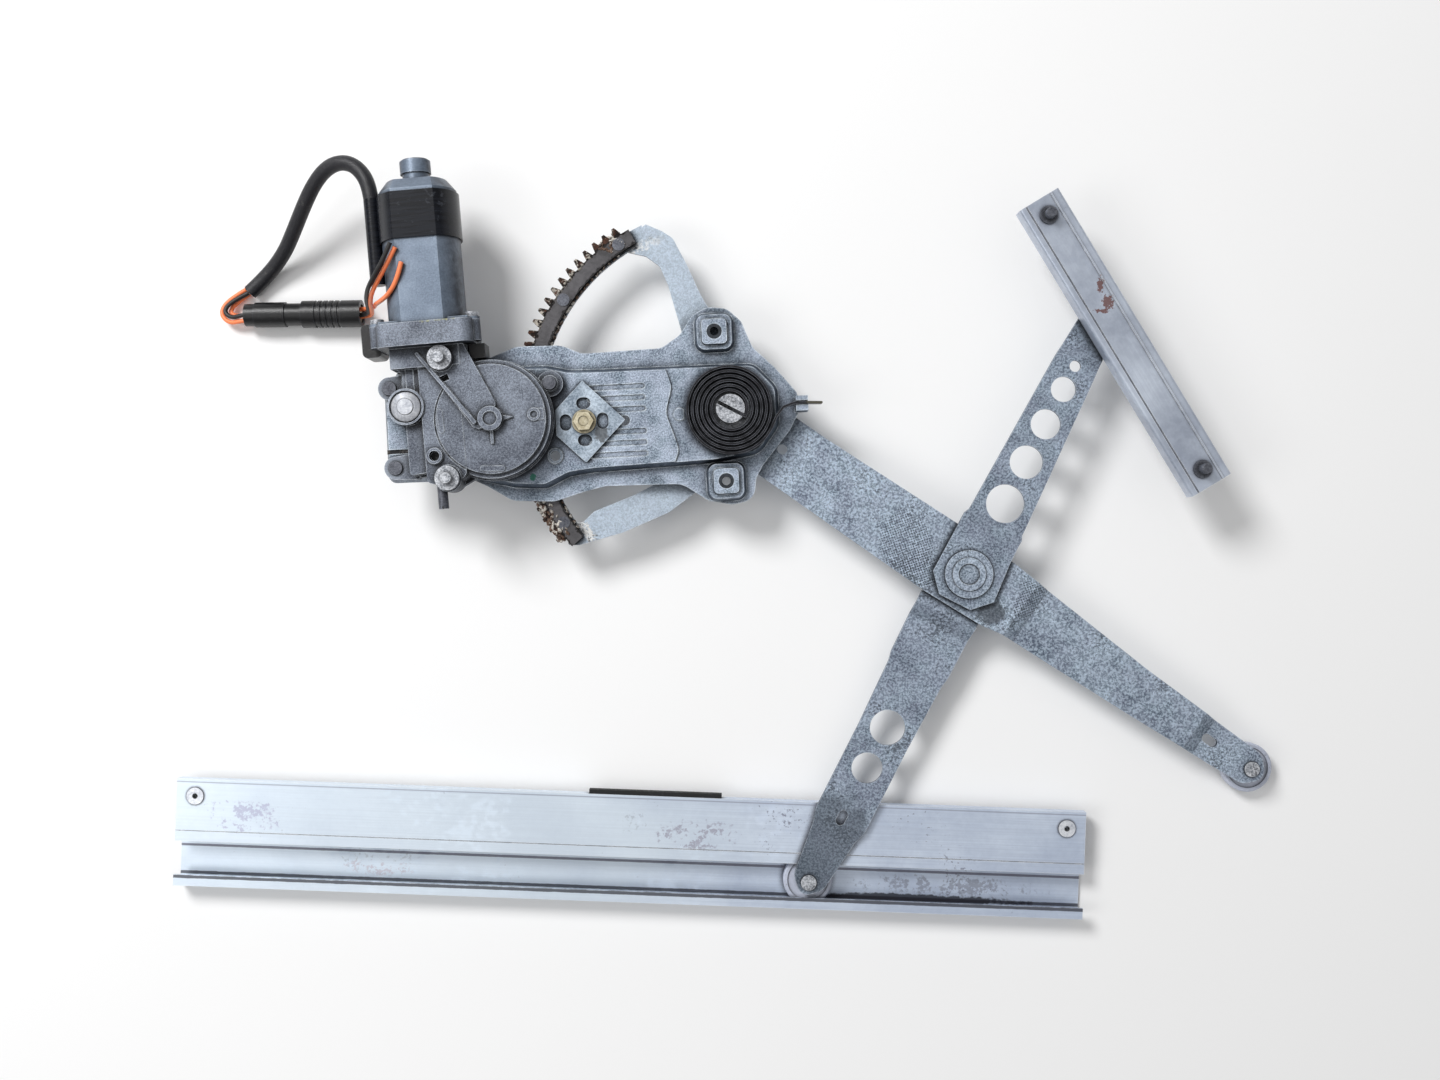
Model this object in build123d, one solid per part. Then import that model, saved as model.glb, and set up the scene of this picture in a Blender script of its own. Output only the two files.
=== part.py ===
from build123d import *
from math import acos, atan2, cos, degrees, hypot, pi, radians, sin, tan
import os

# Electric scissor-arm window regulator, lying with its motor side up.
# Millimetres. Origin on the axis of the upper mounting hole, in the face that bolts to the door.
# +Z points out of that face towards the cabin, +X runs along the glass rail.

# Driving dimensions: linkage
pivot_x = 11.0
pivot_y = -44.5
pivot_to_centre = 168.0
centre_to_roller = 204.0
lift_angle = -32.2
equaliser_angle = 65.2
plate_angle = 5.0
gearbox_turn = 2.0
short_rail_angle = -56.7

# Driving dimensions: sheets and heights
plate_sheet = 2.0
arm_sheet = 2.5
arm_gap = 0.5
flange_depth = 7.5
lift_arm_bottom = -17.0
running_gap = 0.05
seat_gap = 0.3

# Driving dimensions: sector and pinion
gear_module = 2.25
pinion_teeth = 9
sector_full_teeth = 111
profile_shift = 0.5
pressure_angle = 20.0
tooth_backlash = 0.16
strip_sheet = 3.5
strip_band = 8.9
strip_teeth_above = 19
strip_teeth_below = 11
pinion_below_strip = 0.9
pinion_above_strip = 1.0

# Driving dimensions: worm drive and motor
worm_offset = 32.0
worm_axis_height = 8.0
worm_module = 1.25
wheel_teeth = 43
wheel_width = 9.0
rotor_shaft_radius = 3.0
output_shaft_radius = 5.0
drum_radius = 33.5
drum_rim_radius = 34.6
drum_height = 17.0
housing_wall = 2.5
can_radius = 22.0
can_flat = 18.6
can_wall = 1.5
can_length = 81.0
flange_face = 56.5
flange_thickness = 13.0

# Driving dimensions: rails and rollers
rail_length = 538.0
rail_left = 375.2
rail_wall = 1.5
rail_height = 13.5
channel_half_width = 15.0
channel_opening = 20.0
panel_width = 36.8
roller_radius = 14.6
roller_width = 7.8
roller_pin_radius = 3.5
short_rail_length = 190.4
short_rail_start = 75.2
short_rail_width = 26.0
short_rail_wall = 1.8
short_rail_height = 11.5
slider_radius = 10.8
slider_width = 6.0
stud_radius = 3.0
stud_inset = 10.6

# Driving dimensions: pins and fasteners
pivot_pin_radius = 8.2
bush_wall = 2.8
centre_rivet_radius = 8.0
m6_hole_radius = 2.5
m6_radius = 3.0
pilot_radius = 4.4
bolt_across_flats = 10.0

# Worked out from the driving dimensions
pinion_pitch = gear_module * pinion_teeth / 2
sector_pitch = gear_module * sector_full_teeth / 2
drive_distance = pinion_pitch + sector_pitch
gear_angle = plate_angle + gearbox_turn
drum_x = pivot_x - drive_distance * cos(radians(plate_angle))
drum_y = pivot_y - drive_distance * sin(radians(plate_angle))
centre_x = pivot_x + pivot_to_centre * cos(radians(lift_angle))
centre_y = pivot_y + pivot_to_centre * sin(radians(lift_angle))
arm_length = pivot_to_centre + centre_to_roller
roller_x = centre_x - centre_to_roller * cos(radians(equaliser_angle))
roller_y = centre_y - centre_to_roller * sin(radians(equaliser_angle))
slider_x = centre_x + pivot_to_centre * cos(radians(equaliser_angle))
slider_y = centre_y + pivot_to_centre * sin(radians(equaliser_angle))

lift_arm_top = lift_arm_bottom + arm_sheet
upper_arm_bottom = lift_arm_top + arm_gap
lower_arm_bottom = lift_arm_bottom - arm_gap - arm_sheet
strip_top = lift_arm_top + strip_sheet
flange_bottom = -flange_depth - plate_sheet
rail_top = lower_arm_bottom - 6.5
rail_floor = rail_top - rail_height
roller_bottom = rail_floor + rail_wall + 0.7
roller_top = roller_bottom + roller_width
roller_arm_bottom = rail_top + 1.0
short_arm_bottom = flange_bottom
short_rail_bottom = short_arm_bottom + arm_sheet + 1.5
short_rail_top = short_rail_bottom + short_rail_height
slider_bottom = short_rail_bottom + short_rail_wall + 0.7

PLATE = Pos(pivot_x, pivot_y, 0) * Rot(0, 0, plate_angle)
LIFT = Pos(pivot_x, pivot_y, 0) * Rot(0, 0, lift_angle)
GEAR = Pos(drum_x, drum_y, 0) * Rot(0, 0, gear_angle)
DRIVE = Pos(drum_x, drum_y, 0) * Rot(0, 0, plate_angle)
UPPER = Pos(centre_x, centre_y, 0) * Rot(0, 0, equaliser_angle)
LOWER = Pos(centre_x, centre_y, 0) * Rot(0, 0, equaliser_angle + 180)
RAIL = Pos(roller_x, roller_y, 0)
SHORT = Pos(slider_x, slider_y, 0) * Rot(0, 0, short_rail_angle)


def outline(points, radius=0.0):
    """Closed face through the points, its corners rounded by one radius or a list of radii."""
    return make_face(FilletPolyline(*points, radius=radius, close=True).edges())


def slab(face, bottom, top):
    """A flat face raised into a plate between two heights."""
    return extrude(Pos(0, 0, bottom) * face, amount=top - bottom, dir=(0, 0, 1))


def disc(radius, bottom, top, x=0.0, y=0.0):
    return Pos(x, y, (bottom + top) / 2) * Cylinder(radius, top - bottom)


def ring(outer, inner, bottom, top, x=0.0, y=0.0):
    return disc(outer, bottom, top, x, y) - disc(inner, bottom, top, x, y)


def block(x0, x1, y0, y1, z0, z1):
    return Pos((x0 + x1) / 2, (y0 + y1) / 2, (z0 + z1) / 2) * Box(x1 - x0, y1 - y0, z1 - z0)


def rod_y(radius, y0, y1, x, z):
    """A round bar lying along Y."""
    return Pos(x, (y0 + y1) / 2, z) * Rot(90, 0, 0) * Cylinder(radius, y1 - y0)


def polar(radius, angle, centre=(0.0, 0.0)):
    return (centre[0] + radius * cos(radians(angle)), centre[1] + radius * sin(radians(angle)))


def slot_face(length, width, x=0.0, y=0.0, turn=0.0):
    return Pos(x, y) * Rot(0, 0, turn) * SlotOverall(length, width)


def joggled(face, steps, sheet=arm_sheet, reach=80.0):
    """A flat outline pressed into steps: steps are (distance along X, height of the underside)."""
    under = [(x, z) for x, z in steps]
    over = [(x, z + sheet) for x, z in reversed(steps)]
    band = extrude(Plane.XZ * make_face(Polyline(*under, *over, close=True).edges()), amount=reach, both=True)
    heights = [z for x, z in steps]
    return slab(face, min(heights) - 1, max(heights) + sheet + 1) & band


def single(shape):
    """The one solid of a shape."""
    solids = shape.solids()
    return solids[0] if len(solids) == 1 else Compound(children=list(solids))


# Gear teeth

def involute(angle):
    return tan(angle) - angle


def tooth_half_angle(radius, pitch_radius, shift):
    """Half the angle that one tooth takes up at a radius, in degrees."""
    working = radians(pressure_angle)
    base = pitch_radius * cos(working)
    thickness = gear_module * (pi / 2 + 2 * shift * tan(working)) - tooth_backlash
    slope = acos(min(1.0, base / max(radius, base)))
    return degrees(thickness / (2 * pitch_radius) + involute(working) - involute(slope))


def tooth_points(centre_angle, radii, pitch_radius, shift):
    """Points up one flank and down the other, in order of rising angle."""
    rising = [polar(r, centre_angle - tooth_half_angle(r, pitch_radius, shift)) for r in radii]
    falling = [polar(r, centre_angle + tooth_half_angle(r, pitch_radius, shift)) for r in reversed(radii)]
    return rising + falling


def gear_face(teeth, radii, pitch_radius, shift):
    points = []
    for k in range(teeth):
        points += tooth_points(360 * k / teeth, radii, pitch_radius, shift)
    return make_face(Polyline(*points, close=True).edges())


addendum_cut = 0.2
pinion_tip = pinion_pitch + gear_module * (1 + profile_shift - addendum_cut)
pinion_root = pinion_pitch - gear_module * (1.25 - profile_shift)
pinion_base = pinion_pitch * cos(radians(pressure_angle))
sector_tip = sector_pitch + gear_module * (1 - profile_shift)
sector_root = sector_pitch - gear_module * (1.25 + profile_shift)
sector_step = 360 / sector_full_teeth
strip_inner_radius = sector_root - strip_band
sector_plate_radius = sector_root - 0.6


# Base plate: one pressed sheet with a raised platform and two raised mounting pads

lower_mount = (10.3, -85.5)


def to_plate(x, y):
    """A point of the part's frame in the base plate's own frame."""
    turn = radians(-plate_angle)
    dx = x - pivot_x
    dy = y - pivot_y
    return (dx * cos(turn) - dy * sin(turn), dx * sin(turn) + dy * cos(turn))


def gear_to_plate(x, y):
    """A point of the gearbox's frame in the base plate's own frame."""
    turn = radians(gearbox_turn)
    return (x * cos(turn) - y * sin(turn) - drive_distance, x * sin(turn) + y * cos(turn))


pads = [to_plate(0.0, 0.0), to_plate(*lower_mount)]
adjuster = (-83.9, -3.0)

flange_points = [(-197, -30), (-152, -32), (-142, -37), (-128, -46), (-104, -47.5), (-86, -42.5), (-74, -40),
                 (-30, -41), (-15, -51.5), (-1, -54.5), (11.5, -52), (13, -40), (17, -33), (34, -13), (39.5, -3),
                 (39.5, 8), (27, 23.5), (14.5, 36), (9, 51), (1, 59), (-11, 60.5), (-19.5, 56), (-27, 45),
                 (-38, 38), (-84, 37), (-96, 42.5), (-122, 43), (-137, 37.5), (-152, 30), (-190, 28), (-197, 18)]
flange_radii = [5, 8, 8, 12, 14, 16, 10, 14, 8, 10, 9, 6, 6, 14, 7, 7, 14, 12, 8, 9, 9, 8, 10, 10, 12,
                16, 14, 8, 6, 3, 3]
platform_points = [(-199.2, -32.4), (-148, -33), (-126, -38.5), (-108, -40), (-94, -33.5), (-80, -32), (-10, -30),
                   (16, -26), (28, -10), (28, 12), (15, 26.5), (-10, 27), (-80, 27.5), (-92, 28), (-104, 31),
                   (-124, 31.5), (-140, 28), (-158, 31.5), (-192, 31.5), (-192.4, 25.5), (-199.2, 18.5)]
platform_radii = [5, 14, 8, 10, 12, 12, 20, 14, 12, 11, 10, 20, 6, 8, 8, 8, 6, 2.5, 2, 3, 5]
pad_half = 7.7
pad_rise = 2.5
pad_shelf_half = 11.4
pad_shelf_corner = 6.0
pad_corner = 3.0
spring_seat_drop = 1.2
groove_rows = [-3, -2, -1, 1, 2, 3]
groove_step = 6.45
groove_depth = 0.7


def pad_outline(half, corner):
    return RectangleRounded(2 * half, 2 * half, corner)


def pressing(lowered):
    """The raised forms of the pressing, as solids whose tops lie at height -lowered."""
    top = -lowered
    foot = -flange_depth - lowered
    shelf = -pad_rise - lowered
    grow = -lowered * 0.6
    face = offset(outline(platform_points, platform_radii), grow) if grow else outline(platform_points,
                                                                                      platform_radii)
    solid = extrude(Pos(0, 0, foot) * face, amount=top - foot, taper=18)
    for x, y in pads:
        step = extrude(Pos(x, y, foot) * pad_outline(pad_shelf_half + grow, pad_shelf_corner), amount=shelf - foot, taper=16)
        pad = extrude(Pos(x, y, shelf) * pad_outline(pad_half + grow, pad_corner), amount=top - shelf, taper=12)
        solid = solid + step + pad
    return solid


def base_plate():
    raised = pressing(0.0)
    plate = slab(outline(flange_points, flange_radii), flange_bottom, -flange_depth) + raised
    plate = plate - pressing(plate_sheet)
    seat = outline(seat_points, seat_radii)
    plate = plate - slab(seat, -spring_seat_drop, 2)
    plate = plate + (raised & slab(seat, -spring_seat_drop - plate_sheet, -spring_seat_drop))
    plate = plate + (disc(3.6, -plate_sheet, -0.6, *dimple) & block(-40, -26.8, -10, 10, -4, 2))
    plate = plate + disc(4.4, -1, 0.9, *spare_hole)
    for k in groove_rows:
        groove = slot_face(33.0, 3.2, -64.8, peep_hole[1] + groove_step * k)
        plate = plate - slab(groove, -groove_depth, 1)
    plate = plate - disc(pinion_tip + 2.5, -12, 3, -drive_distance, 0)
    plate = plate - disc(bush_outer(), -12, 3)
    for x, y in pads:
        plate = plate - disc(pilot_radius, -12, 3, x, y)
    for x, y in rivets + drum_ears:
        plate = plate - disc(screw_radius, -12, 3, *gear_to_plate(x, y))
    plate = plate - disc(pilot_radius, -12, 3, *adjuster)
    plate = plate - disc(2.9, -12, 3, *spare_hole)
    plate = plate - disc(3.0, -12, 3, *peep_hole)
    plate = plate - block(notch_left, notch_right, notch_y - 1.2, notch_y + 1.2, -12, 3)
    return single(plate + hook_tab())


dimple = (-29.2, -1.2)
peep_hole = (-60.8, -3.3)
seat_points = [(-38.5, 32), (-33, 15), (-37.2, 0), (-33, -13), (-30.5, -22), (-35.2, -33.2), (45, -33.2), (45, 32)]
seat_radii = [3, 9, 11, 14, 9, 3, 3, 3]
spare_hole = (-101.4, -21.7)
hook_y = 1.6
notch_left = -198.0
notch_right = -184.0
notch_y = -14.8


def hook_tab():
    """Upturned ear at the plate's right edge, with a slit that holds the spring's tail."""
    ear = block(37.5, 44.5, -3.0, 5.5, flange_bottom, 5.0)
    slit = block(36.0, 46.0, hook_y - 1.2, hook_y + 1.2, -0.5, 6.0)
    return ear - slit


def bush_outer():
    return pivot_pin_radius + running_gap + bush_wall


def weld_nut(x, y, bore):
    """Hexagonal weld nut under the sheet, with a pilot that fills the sheet's hole up to its face."""
    nut = slab(Pos(x, y) * RegularPolygon(5.8, 6), -plate_sheet - 5.0, -plate_sheet)
    nut = nut + disc(pilot_radius, -plate_sheet, 0, x, y)
    return single(nut - disc(bore, -9, 1, x, y))


def pivot_bush():
    inner = pivot_pin_radius + running_gap
    body = disc(bush_outer(), lift_arm_top + seat_gap, -spring_seat_drop)
    collar = disc(bush_outer() + 3.0, flange_bottom, -plate_sheet - spring_seat_drop)
    return single(body + collar - disc(inner, -30, 5))


# Adjusting plate with four slots round its bolt

diamond_sheet = 2.0


def diamond_plate():
    x, y = adjuster
    half = 23.5
    cut = 16.2
    side = half - cut
    points = [(half, 0), (0, half), (-cut, side), (-cut, -side), (0, -half)]
    face = outline([(x + px, y + py) for px, py in points], 0.8)
    plate = slab(face, 0, diamond_sheet)
    for turn in (0, 90, 180, 270):
        tilt = 90 if turn in (0, 180) else 0
        px, py = polar(10.6, turn, adjuster)
        plate = plate - slab(slot_face(9.4 if tilt else 8.2, 6.6, px, py, tilt), -1, 3)
    plate = plate - disc(m6_radius + seat_gap, -1, 3, x, y)
    return single(plate)


def flange_bolt(x, y, seat, length):
    """Hexagon bolt with a flange under its head, standing on a seat height."""
    hexagon = RegularPolygon(bolt_across_flats / 2, 6, major_radius=False)
    bolt = disc(6.8, seat, seat + 1.4, x, y) + slab(Pos(x, y) * hexagon, seat + 1.4, seat + 5.6)
    bolt = bolt - disc(3.0, seat + 5.0, seat + 6, x, y)
    return single(bolt + disc(m6_radius, seat - length, seat, x, y))


# Counterbalance spring: a flat spiral of half turns, drawn round two centres in turn

spring_strip = 1.4
spring_pitch = 2.7
spring_inner = 10.3
spring_half_turns = 12
spring_bottom = -spring_seat_drop + seat_gap
spring_height = 7.0
tail_bottom = 0.3
pin_slot_angle = -30.0
tail_points = [(26.2, -5.4), (30.2, -0.6), (35.5, 1.2), (40.0, hook_y), (52.0, hook_y - 0.6)]


def counterbalance_spring():
    """Flat strip wound round the pivot pin, from the pin's slot out to the hook."""
    offset_from_pin = spring_pitch / 4
    top = spring_bottom + spring_height
    thick = spring_strip / 2
    tongue = block(1.5, spring_inner - offset_from_pin + thick, -thick, thick, spring_bottom, top)
    spring = tongue
    for k in range(spring_half_turns):
        radius = spring_inner + spring_pitch / 2 * k
        upper = k % 2 == 0
        centre = -offset_from_pin if upper else offset_from_pin
        coil = ring(radius + thick, radius - thick, spring_bottom, top, centre, 0)
        spring = spring + (coil & block(-60, 60, 0 if upper else -60, 60 if upper else 0, -5, 20))
    spring = Rot(0, 0, pin_slot_angle) * spring
    last = polar(radius + offset_from_pin, pin_slot_angle)
    route = [last] + tail_points
    for start, end in zip(route, route[1:]):
        length = hypot(end[0] - start[0], end[1] - start[1])
        turn = degrees(atan2(end[1] - start[1], end[0] - start[0]))
        middle = ((start[0] + end[0]) / 2, (start[1] + end[1]) / 2)
        bar = Pos(*middle, (top + tail_bottom) / 2) * Rot(0, 0, turn) * Box(length, spring_strip, top - tail_bottom)
        spring = spring + bar + disc(thick, tail_bottom, top, *end)
    return single(spring)


# Gearbox, in a frame whose Y axis is the worm shaft

def motor_profile(grow=0.0):
    """Round can outline with two flats, in the plane across the worm shaft."""
    circle = Circle(can_radius + grow)
    flats = Rectangle(2 * (can_radius + grow), 2 * (can_flat + grow))
    return circle & flats


def along_shaft(face, y0, y1):
    """A face drawn across the worm shaft, swept along it."""
    plane = Plane(origin=(-worm_offset, y0, worm_axis_height), x_dir=(1, 0, 0), z_dir=(0, 1, 0))
    return extrude(plane * face, amount=y1 - y0, dir=(0, 1, 0))


posts = [(-25.0, 36.0), (-26.4, -31.5)]
bush_place = (-47.0, 10.6)
rivets = [(-57.9, -22.5), (-57.7, 22.9)]
drum_ears = [(33.6, 18.2)]
small_boss = (-33.0, -18.3)
flange_ears = [-59.3, -6.0]
ear_height = worm_axis_height + 8.0
post_foot = worm_axis_height + rotor_shaft_radius + 1.5
post_seat = drum_height + 2.0
worm_cavity = 6.4
post_radius = 6.8


def rivet_ear(x, y):
    """Round tongue of the casting over a rivet, with a neck to the body."""
    neck = outline([(x, y - ear_radius), (body_left + 4, y - ear_radius - 1), (body_left + 4, y + ear_radius + 1),
                    (x, y + ear_radius)], 1.5)
    return disc(ear_radius, 0, ear_thickness, x, y) + slab(neck, 0, ear_thickness)


def drum():
    """Round wheel case: a rim at its foot, a step round its lid, and the worked marks on the lid."""
    case = disc(drum_radius, 0, drum_height) + disc(drum_rim_radius, 0, 6.0)
    case = case - ring(drum_radius + 3, lid_radius, drum_height - 2.2, drum_height + 1)
    case = case + slab(slot_face(13.8, 3.1, -28.2, 0.9, 92), drum_height - 2, drum_height + mark_height)
    case = case + slab(slot_face(14.0, 3.1, -1.2, -28.0, 175), drum_height - 2, drum_height + mark_height)
    case = case + disc(3.6, drum_height - 2, drum_height + 1.0, *dimple_boss)
    case = case + block(dimple_boss[0], dimple_boss[0] + 5.6, dimple_boss[1] - 3.2, dimple_boss[1] + 3.2,
                        drum_height - 2, drum_height + mark_height)
    return case - disc(2.1, drum_height, drum_height + 2, *dimple_boss)


def motor_flange():
    """Square flange that takes the motor can, with a round ear for each screw."""
    half = flange_width / 2
    flange = block(-worm_offset - half, -worm_offset + half, flange_face - flange_thickness, flange_face,
                   worm_axis_height - 20, worm_axis_height + 20)
    flange = fillet(flange.edges().filter_by(Axis.Y), 6)
    for x in flange_ears:
        flange = flange + rod_y(4.6, flange_face - 12, flange_face, x, ear_height)
        inner = min(x, -worm_offset)
        outer = max(x, -worm_offset)
        flange = flange + block(inner, outer, flange_face - 12, flange_face, ear_height - 4, ear_height + 4)
    return flange


def gearbox_housing():
    """Die-cast case: wheel drum, worm tunnel, motor flange, and tongues riveted to the base plate."""
    left = body_left
    foot_face = outline([(left, -29), (-38, -29), (-22, -37), (-8, -30), (-4, 30), (-20, 43), (left - 5, 43),
                         (left - 5, 31.5), (left, 31.5)], [2, 3, 5, 4, 4, 4, 1, 1, 0.5])
    body = outline([(left, -28), (-38, -27), (-24, -36), (-14, -30), (-10, 44), (left - 3, 44), (left - 3, 32),
                    (left, 30)], [2, 3, 5, 5, 2, 1, 0.5, 0.5])
    tunnel = outline([(tunnel_left, -33), (-24, -37), (-16, -30), (-16, 44), (tunnel_left, 44)], [3, 5, 4, 1, 1])
    housing = drum() + slab(foot_face, 0, 5.0) + slab(body, 0, 14.0)
    housing = housing + slab(tunnel, 0, tunnel_top) - ring(lid_radius + 1.0, lid_radius, tunnel_top - 0.8, 20)
    housing = housing + slab(Pos(-34.0, 38.5) * Rectangle(39.0, 13.0), 0, post_seat)
    for x, width, top in stub_ribs:
        housing = housing + block(x - width / 2, x + width / 2, 18.5, 33.0, 0, top)
    for x, y in rivets:
        housing = housing + rivet_ear(x, y)
    housing = housing + motor_flange()
    web = outline([(-38, 40), (-12, 44), (4, 8), (-6, -6), (-10, -4)], [1, 2, 3, 3, 2])
    housing = housing + slab(web, drum_height - 4, drum_height + 1.6)
    housing = housing - slab(Pos(-24.0, 24.6) * Rot(0, 0, 20) * Rectangle(5.4, 3.4), drum_height - 3, drum_height + 3)
    rib = outline([(-39.4, 40), (-37.4, 40), (-7.6, -1.4), (-9.4, -2.6)], 0.6)
    housing = housing + slab(rib, drum_height - 4, drum_height + 3.4)
    housing = housing + disc(6.8, drum_height - 3, drum_height + 4.5)
    housing = housing + slab(make_face(Polyline((5, -1.6), (13, 0), (5, 1.6), close=True).edges()),
                             drum_height - 2, drum_height + 1.4)
    housing = housing + block(-0.8, 0.8, -14, -5, drum_height - 2, drum_height + 1.4)
    for x, y in drum_ears:
        housing = housing + disc(7.4, 0, 5.0, x, y) + disc(4.6, 0, 7.0, x, y)
    for x, y in posts:
        housing = housing + disc(post_radius + 0.8, 0, post_seat, x, y)
    housing = housing + disc(bush_boss_radius, 0, bush_seat + bush_recess, *bush_place)
    housing = housing - disc(bush_recess_radius, bush_seat, bush_seat + 5, *bush_place)
    housing = housing + disc(4.5, 0, drum_height + 2.4, *small_boss)
    housing = housing - disc(2.9, drum_height - 2.0, drum_height + 4, *small_boss)
    housing = housing - disc(4.0, drum_height + 3.3, drum_height + 5)
    # Inside: wheel chamber, worm tunnel, rotor shaft and the brush chamber in the flange
    housing = housing - disc(wheel_chamber, 0, drum_height - 3.0)
    housing = housing - disc(output_shaft_radius + running_gap, 0, drum_height - 0.5)
    housing = housing - rod_y(worm_cavity, -24, 40, -worm_offset, worm_axis_height)
    housing = housing - rod_y(rotor_shaft_radius + running_gap, -34, 60, -worm_offset, worm_axis_height)
    housing = housing - rod_y(thrust_radius, -60, -30, -worm_offset, worm_axis_height)
    housing = housing - along_shaft(Circle(17.5), flange_face - 12, flange_face + 1)
    for x in flange_ears:
        housing = housing - rod_y(screw_radius, flange_face - 11, flange_face + 1, x, ear_height)
    for x, y in posts:
        housing = housing - disc(post_shank, post_foot, drum_height + 3, x, y)
    housing = housing - disc(bush_shank, -1, bush_seat + 1, *bush_place)
    for x, y in rivets + drum_ears:
        housing = housing - disc(screw_radius, -1, 9, x, y)
    housing = housing - disc(cover_radius, -1, cover_sheet)
    return single(housing)


body_left = -48.4
tunnel_left = -38.5
tunnel_top = 17.2
lid_radius = 30.9
mark_height = 0.5
dimple_boss = (24.4, 0.4)
ear_radius = 6.6
ear_thickness = 5.4
flange_width = 54.0
stub_ribs = [(-48.6, 1.6, 12.0), (-44.0, 4.6, 14.6)]
wheel_pitch = worm_module * wheel_teeth / 2
worm_pitch = worm_offset - wheel_pitch
wheel_chamber = wheel_pitch + worm_module + 1.2
cover_radius = drum_radius - 1.0
cover_sheet = 1.4
thrust_radius = 2.9
screw_radius = 2.0
post_shank = 4.0
bush_shank = 6.3
bush_seat = 17.0
bush_boss_radius = 10.3
bush_recess = 1.5
bush_recess_radius = 9.2


def gearbox_cover():
    """Steel disc that closes the drum on the base plate's side and carries the output shaft."""
    cover = disc(cover_radius, 0, cover_sheet)
    hub = disc(9.0, -4.5, 0)
    return single(cover + hub - disc(output_shaft_radius + running_gap, -8, 4))


def gearbox_screws():
    """Screws and rivet heads that hold the gearbox down on the base plate."""
    screws = []
    for x, y in rivets:
        seat = ear_thickness
        screws.append(single(disc(screw_radius, -plate_sheet, seat, x, y) + disc(3.8, seat, seat + 1.4, x, y)))
    for x, y in drum_ears:
        screws.append(single(disc(screw_radius, -plate_sheet, 7.0, x, y) + disc(3.7, 7.0, 9.4, x, y)))
    return screws


def mount_post(x, y):
    """Collared post with a stud end, one of the two that carry the motor against the door."""
    post = disc(post_shank, post_foot, post_seat, x, y)
    post = post + disc(post_radius, post_seat, post_seat + 4.5, x, y)
    post = post + disc(m6_radius, post_seat + 4.5, post_seat + 9.0, x, y)
    return single(post)


def mount_bush():
    x, y = bush_place
    bush = disc(bush_shank, 0, bush_seat, x, y) + disc(8.3, bush_seat, bush_seat + 0.8, x, y)
    bush = bush + Pos(x, y, bush_seat + 1.5) * Cone(8.3, 5.4, 1.4)
    return single(bush + disc(4.4, bush_seat + 2.0, bush_seat + 3.0, x, y))


def thrust_screw():
    """Screw that sets the rotor's end play, in the tail of the worm tunnel."""
    y0 = -48.0
    screw = rod_y(thrust_radius, y0, -34.5, -worm_offset, worm_axis_height)
    return single(screw - block(-worm_offset - 0.5, -worm_offset + 0.5, y0 - 1, y0 + 1.5,
                                worm_axis_height - 5, worm_axis_height + 5))


# Motor

can_end = flange_face + can_length
dome_length = 6.0
boss_radius = 7.6
boss_length = 13.0


can_flange = 1.5


def motor_can():
    """Drawn steel can with two flats, a flange with two ears, and the end bearing's boss."""
    x = -worm_offset
    z = worm_axis_height
    body_end = can_end - dome_length
    body = along_shaft(motor_profile(), flange_face, body_end)
    plane = Plane(origin=(x, body_end, z), x_dir=(1, 0, 0), z_dir=(0, 1, 0))
    dome = extrude(plane * motor_profile(), amount=dome_length, taper=38)
    can = body + dome + rod_y(boss_radius, can_end - 2, can_end + boss_length, x, z)
    can = can + rod_y(boss_radius + 1.1, can_end + 5, can_end + boss_length - 0.8, x, z)
    can = can + block(x - 25, x + 25, flange_face, flange_face + can_flange, z - 15, z + 17)
    for ear in flange_ears:
        can = can + rod_y(4.6, flange_face, flange_face + can_flange, ear, ear_height)
        can = can + block(min(ear, x), max(ear, x), flange_face, flange_face + can_flange, ear_height - 4,
                          ear_height + 4)
        can = can - rod_y(screw_radius, flange_face - 1, flange_face + 3, ear, ear_height)
    can = can - along_shaft(motor_profile(-can_wall), flange_face - 1, body_end - can_wall)
    return single(can - rod_y(bearing_radius, body_end - 3, can_end + boss_length - 2, x, z))


bearing_radius = 6.0
bearing_length = 9.0


def end_bearing():
    x = -worm_offset
    z = worm_axis_height
    top = can_end + boss_length - 2
    bearing = rod_y(bearing_radius, top - bearing_length, top, x, z)
    return single(bearing - rod_y(rotor_shaft_radius + running_gap, 0, top + 1, x, z))


def flange_screws():
    """Two screws that clamp the motor can's ears to the gearbox flange."""
    screws = []
    for x in flange_ears:
        seat = flange_face + can_flange
        shank = rod_y(screw_radius, flange_face - 11, seat, x, ear_height)
        screws.append(single(shank + rod_y(3.9, seat, seat + 2.6, x, ear_height)))
    return screws


def field_magnets():
    """Two curved magnets on the round sides of the can."""
    shell = along_shaft(Circle(can_radius - can_wall) - Circle(magnet_bore), can_end - magnet_start, can_end - magnet_end)
    keep = 2 * (can_flat - can_wall) - 9
    x = -worm_offset
    pair = []
    for side in (-1, 1):
        near = x + side * 6
        far = x + side * 30
        half = block(min(near, far), max(near, far), 0, 200, worm_axis_height - keep / 2,
                     worm_axis_height + keep / 2)
        pair.append(single(shell & half))
    return pair


magnet_bore = 15.2
magnet_start = 52.0
magnet_end = 12.0
armature_radius = 14.4


def rotor_shaft():
    return single(rod_y(rotor_shaft_radius, -34.0, can_end + boss_length - 3, -worm_offset, worm_axis_height))


def on_shaft(radius, y0, y1):
    """A sleeve pressed on the rotor shaft."""
    x = -worm_offset
    z = worm_axis_height
    return single(rod_y(radius, y0, y1, x, z) - rod_y(rotor_shaft_radius, y0 - 1, y1 + 1, x, z))


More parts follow.
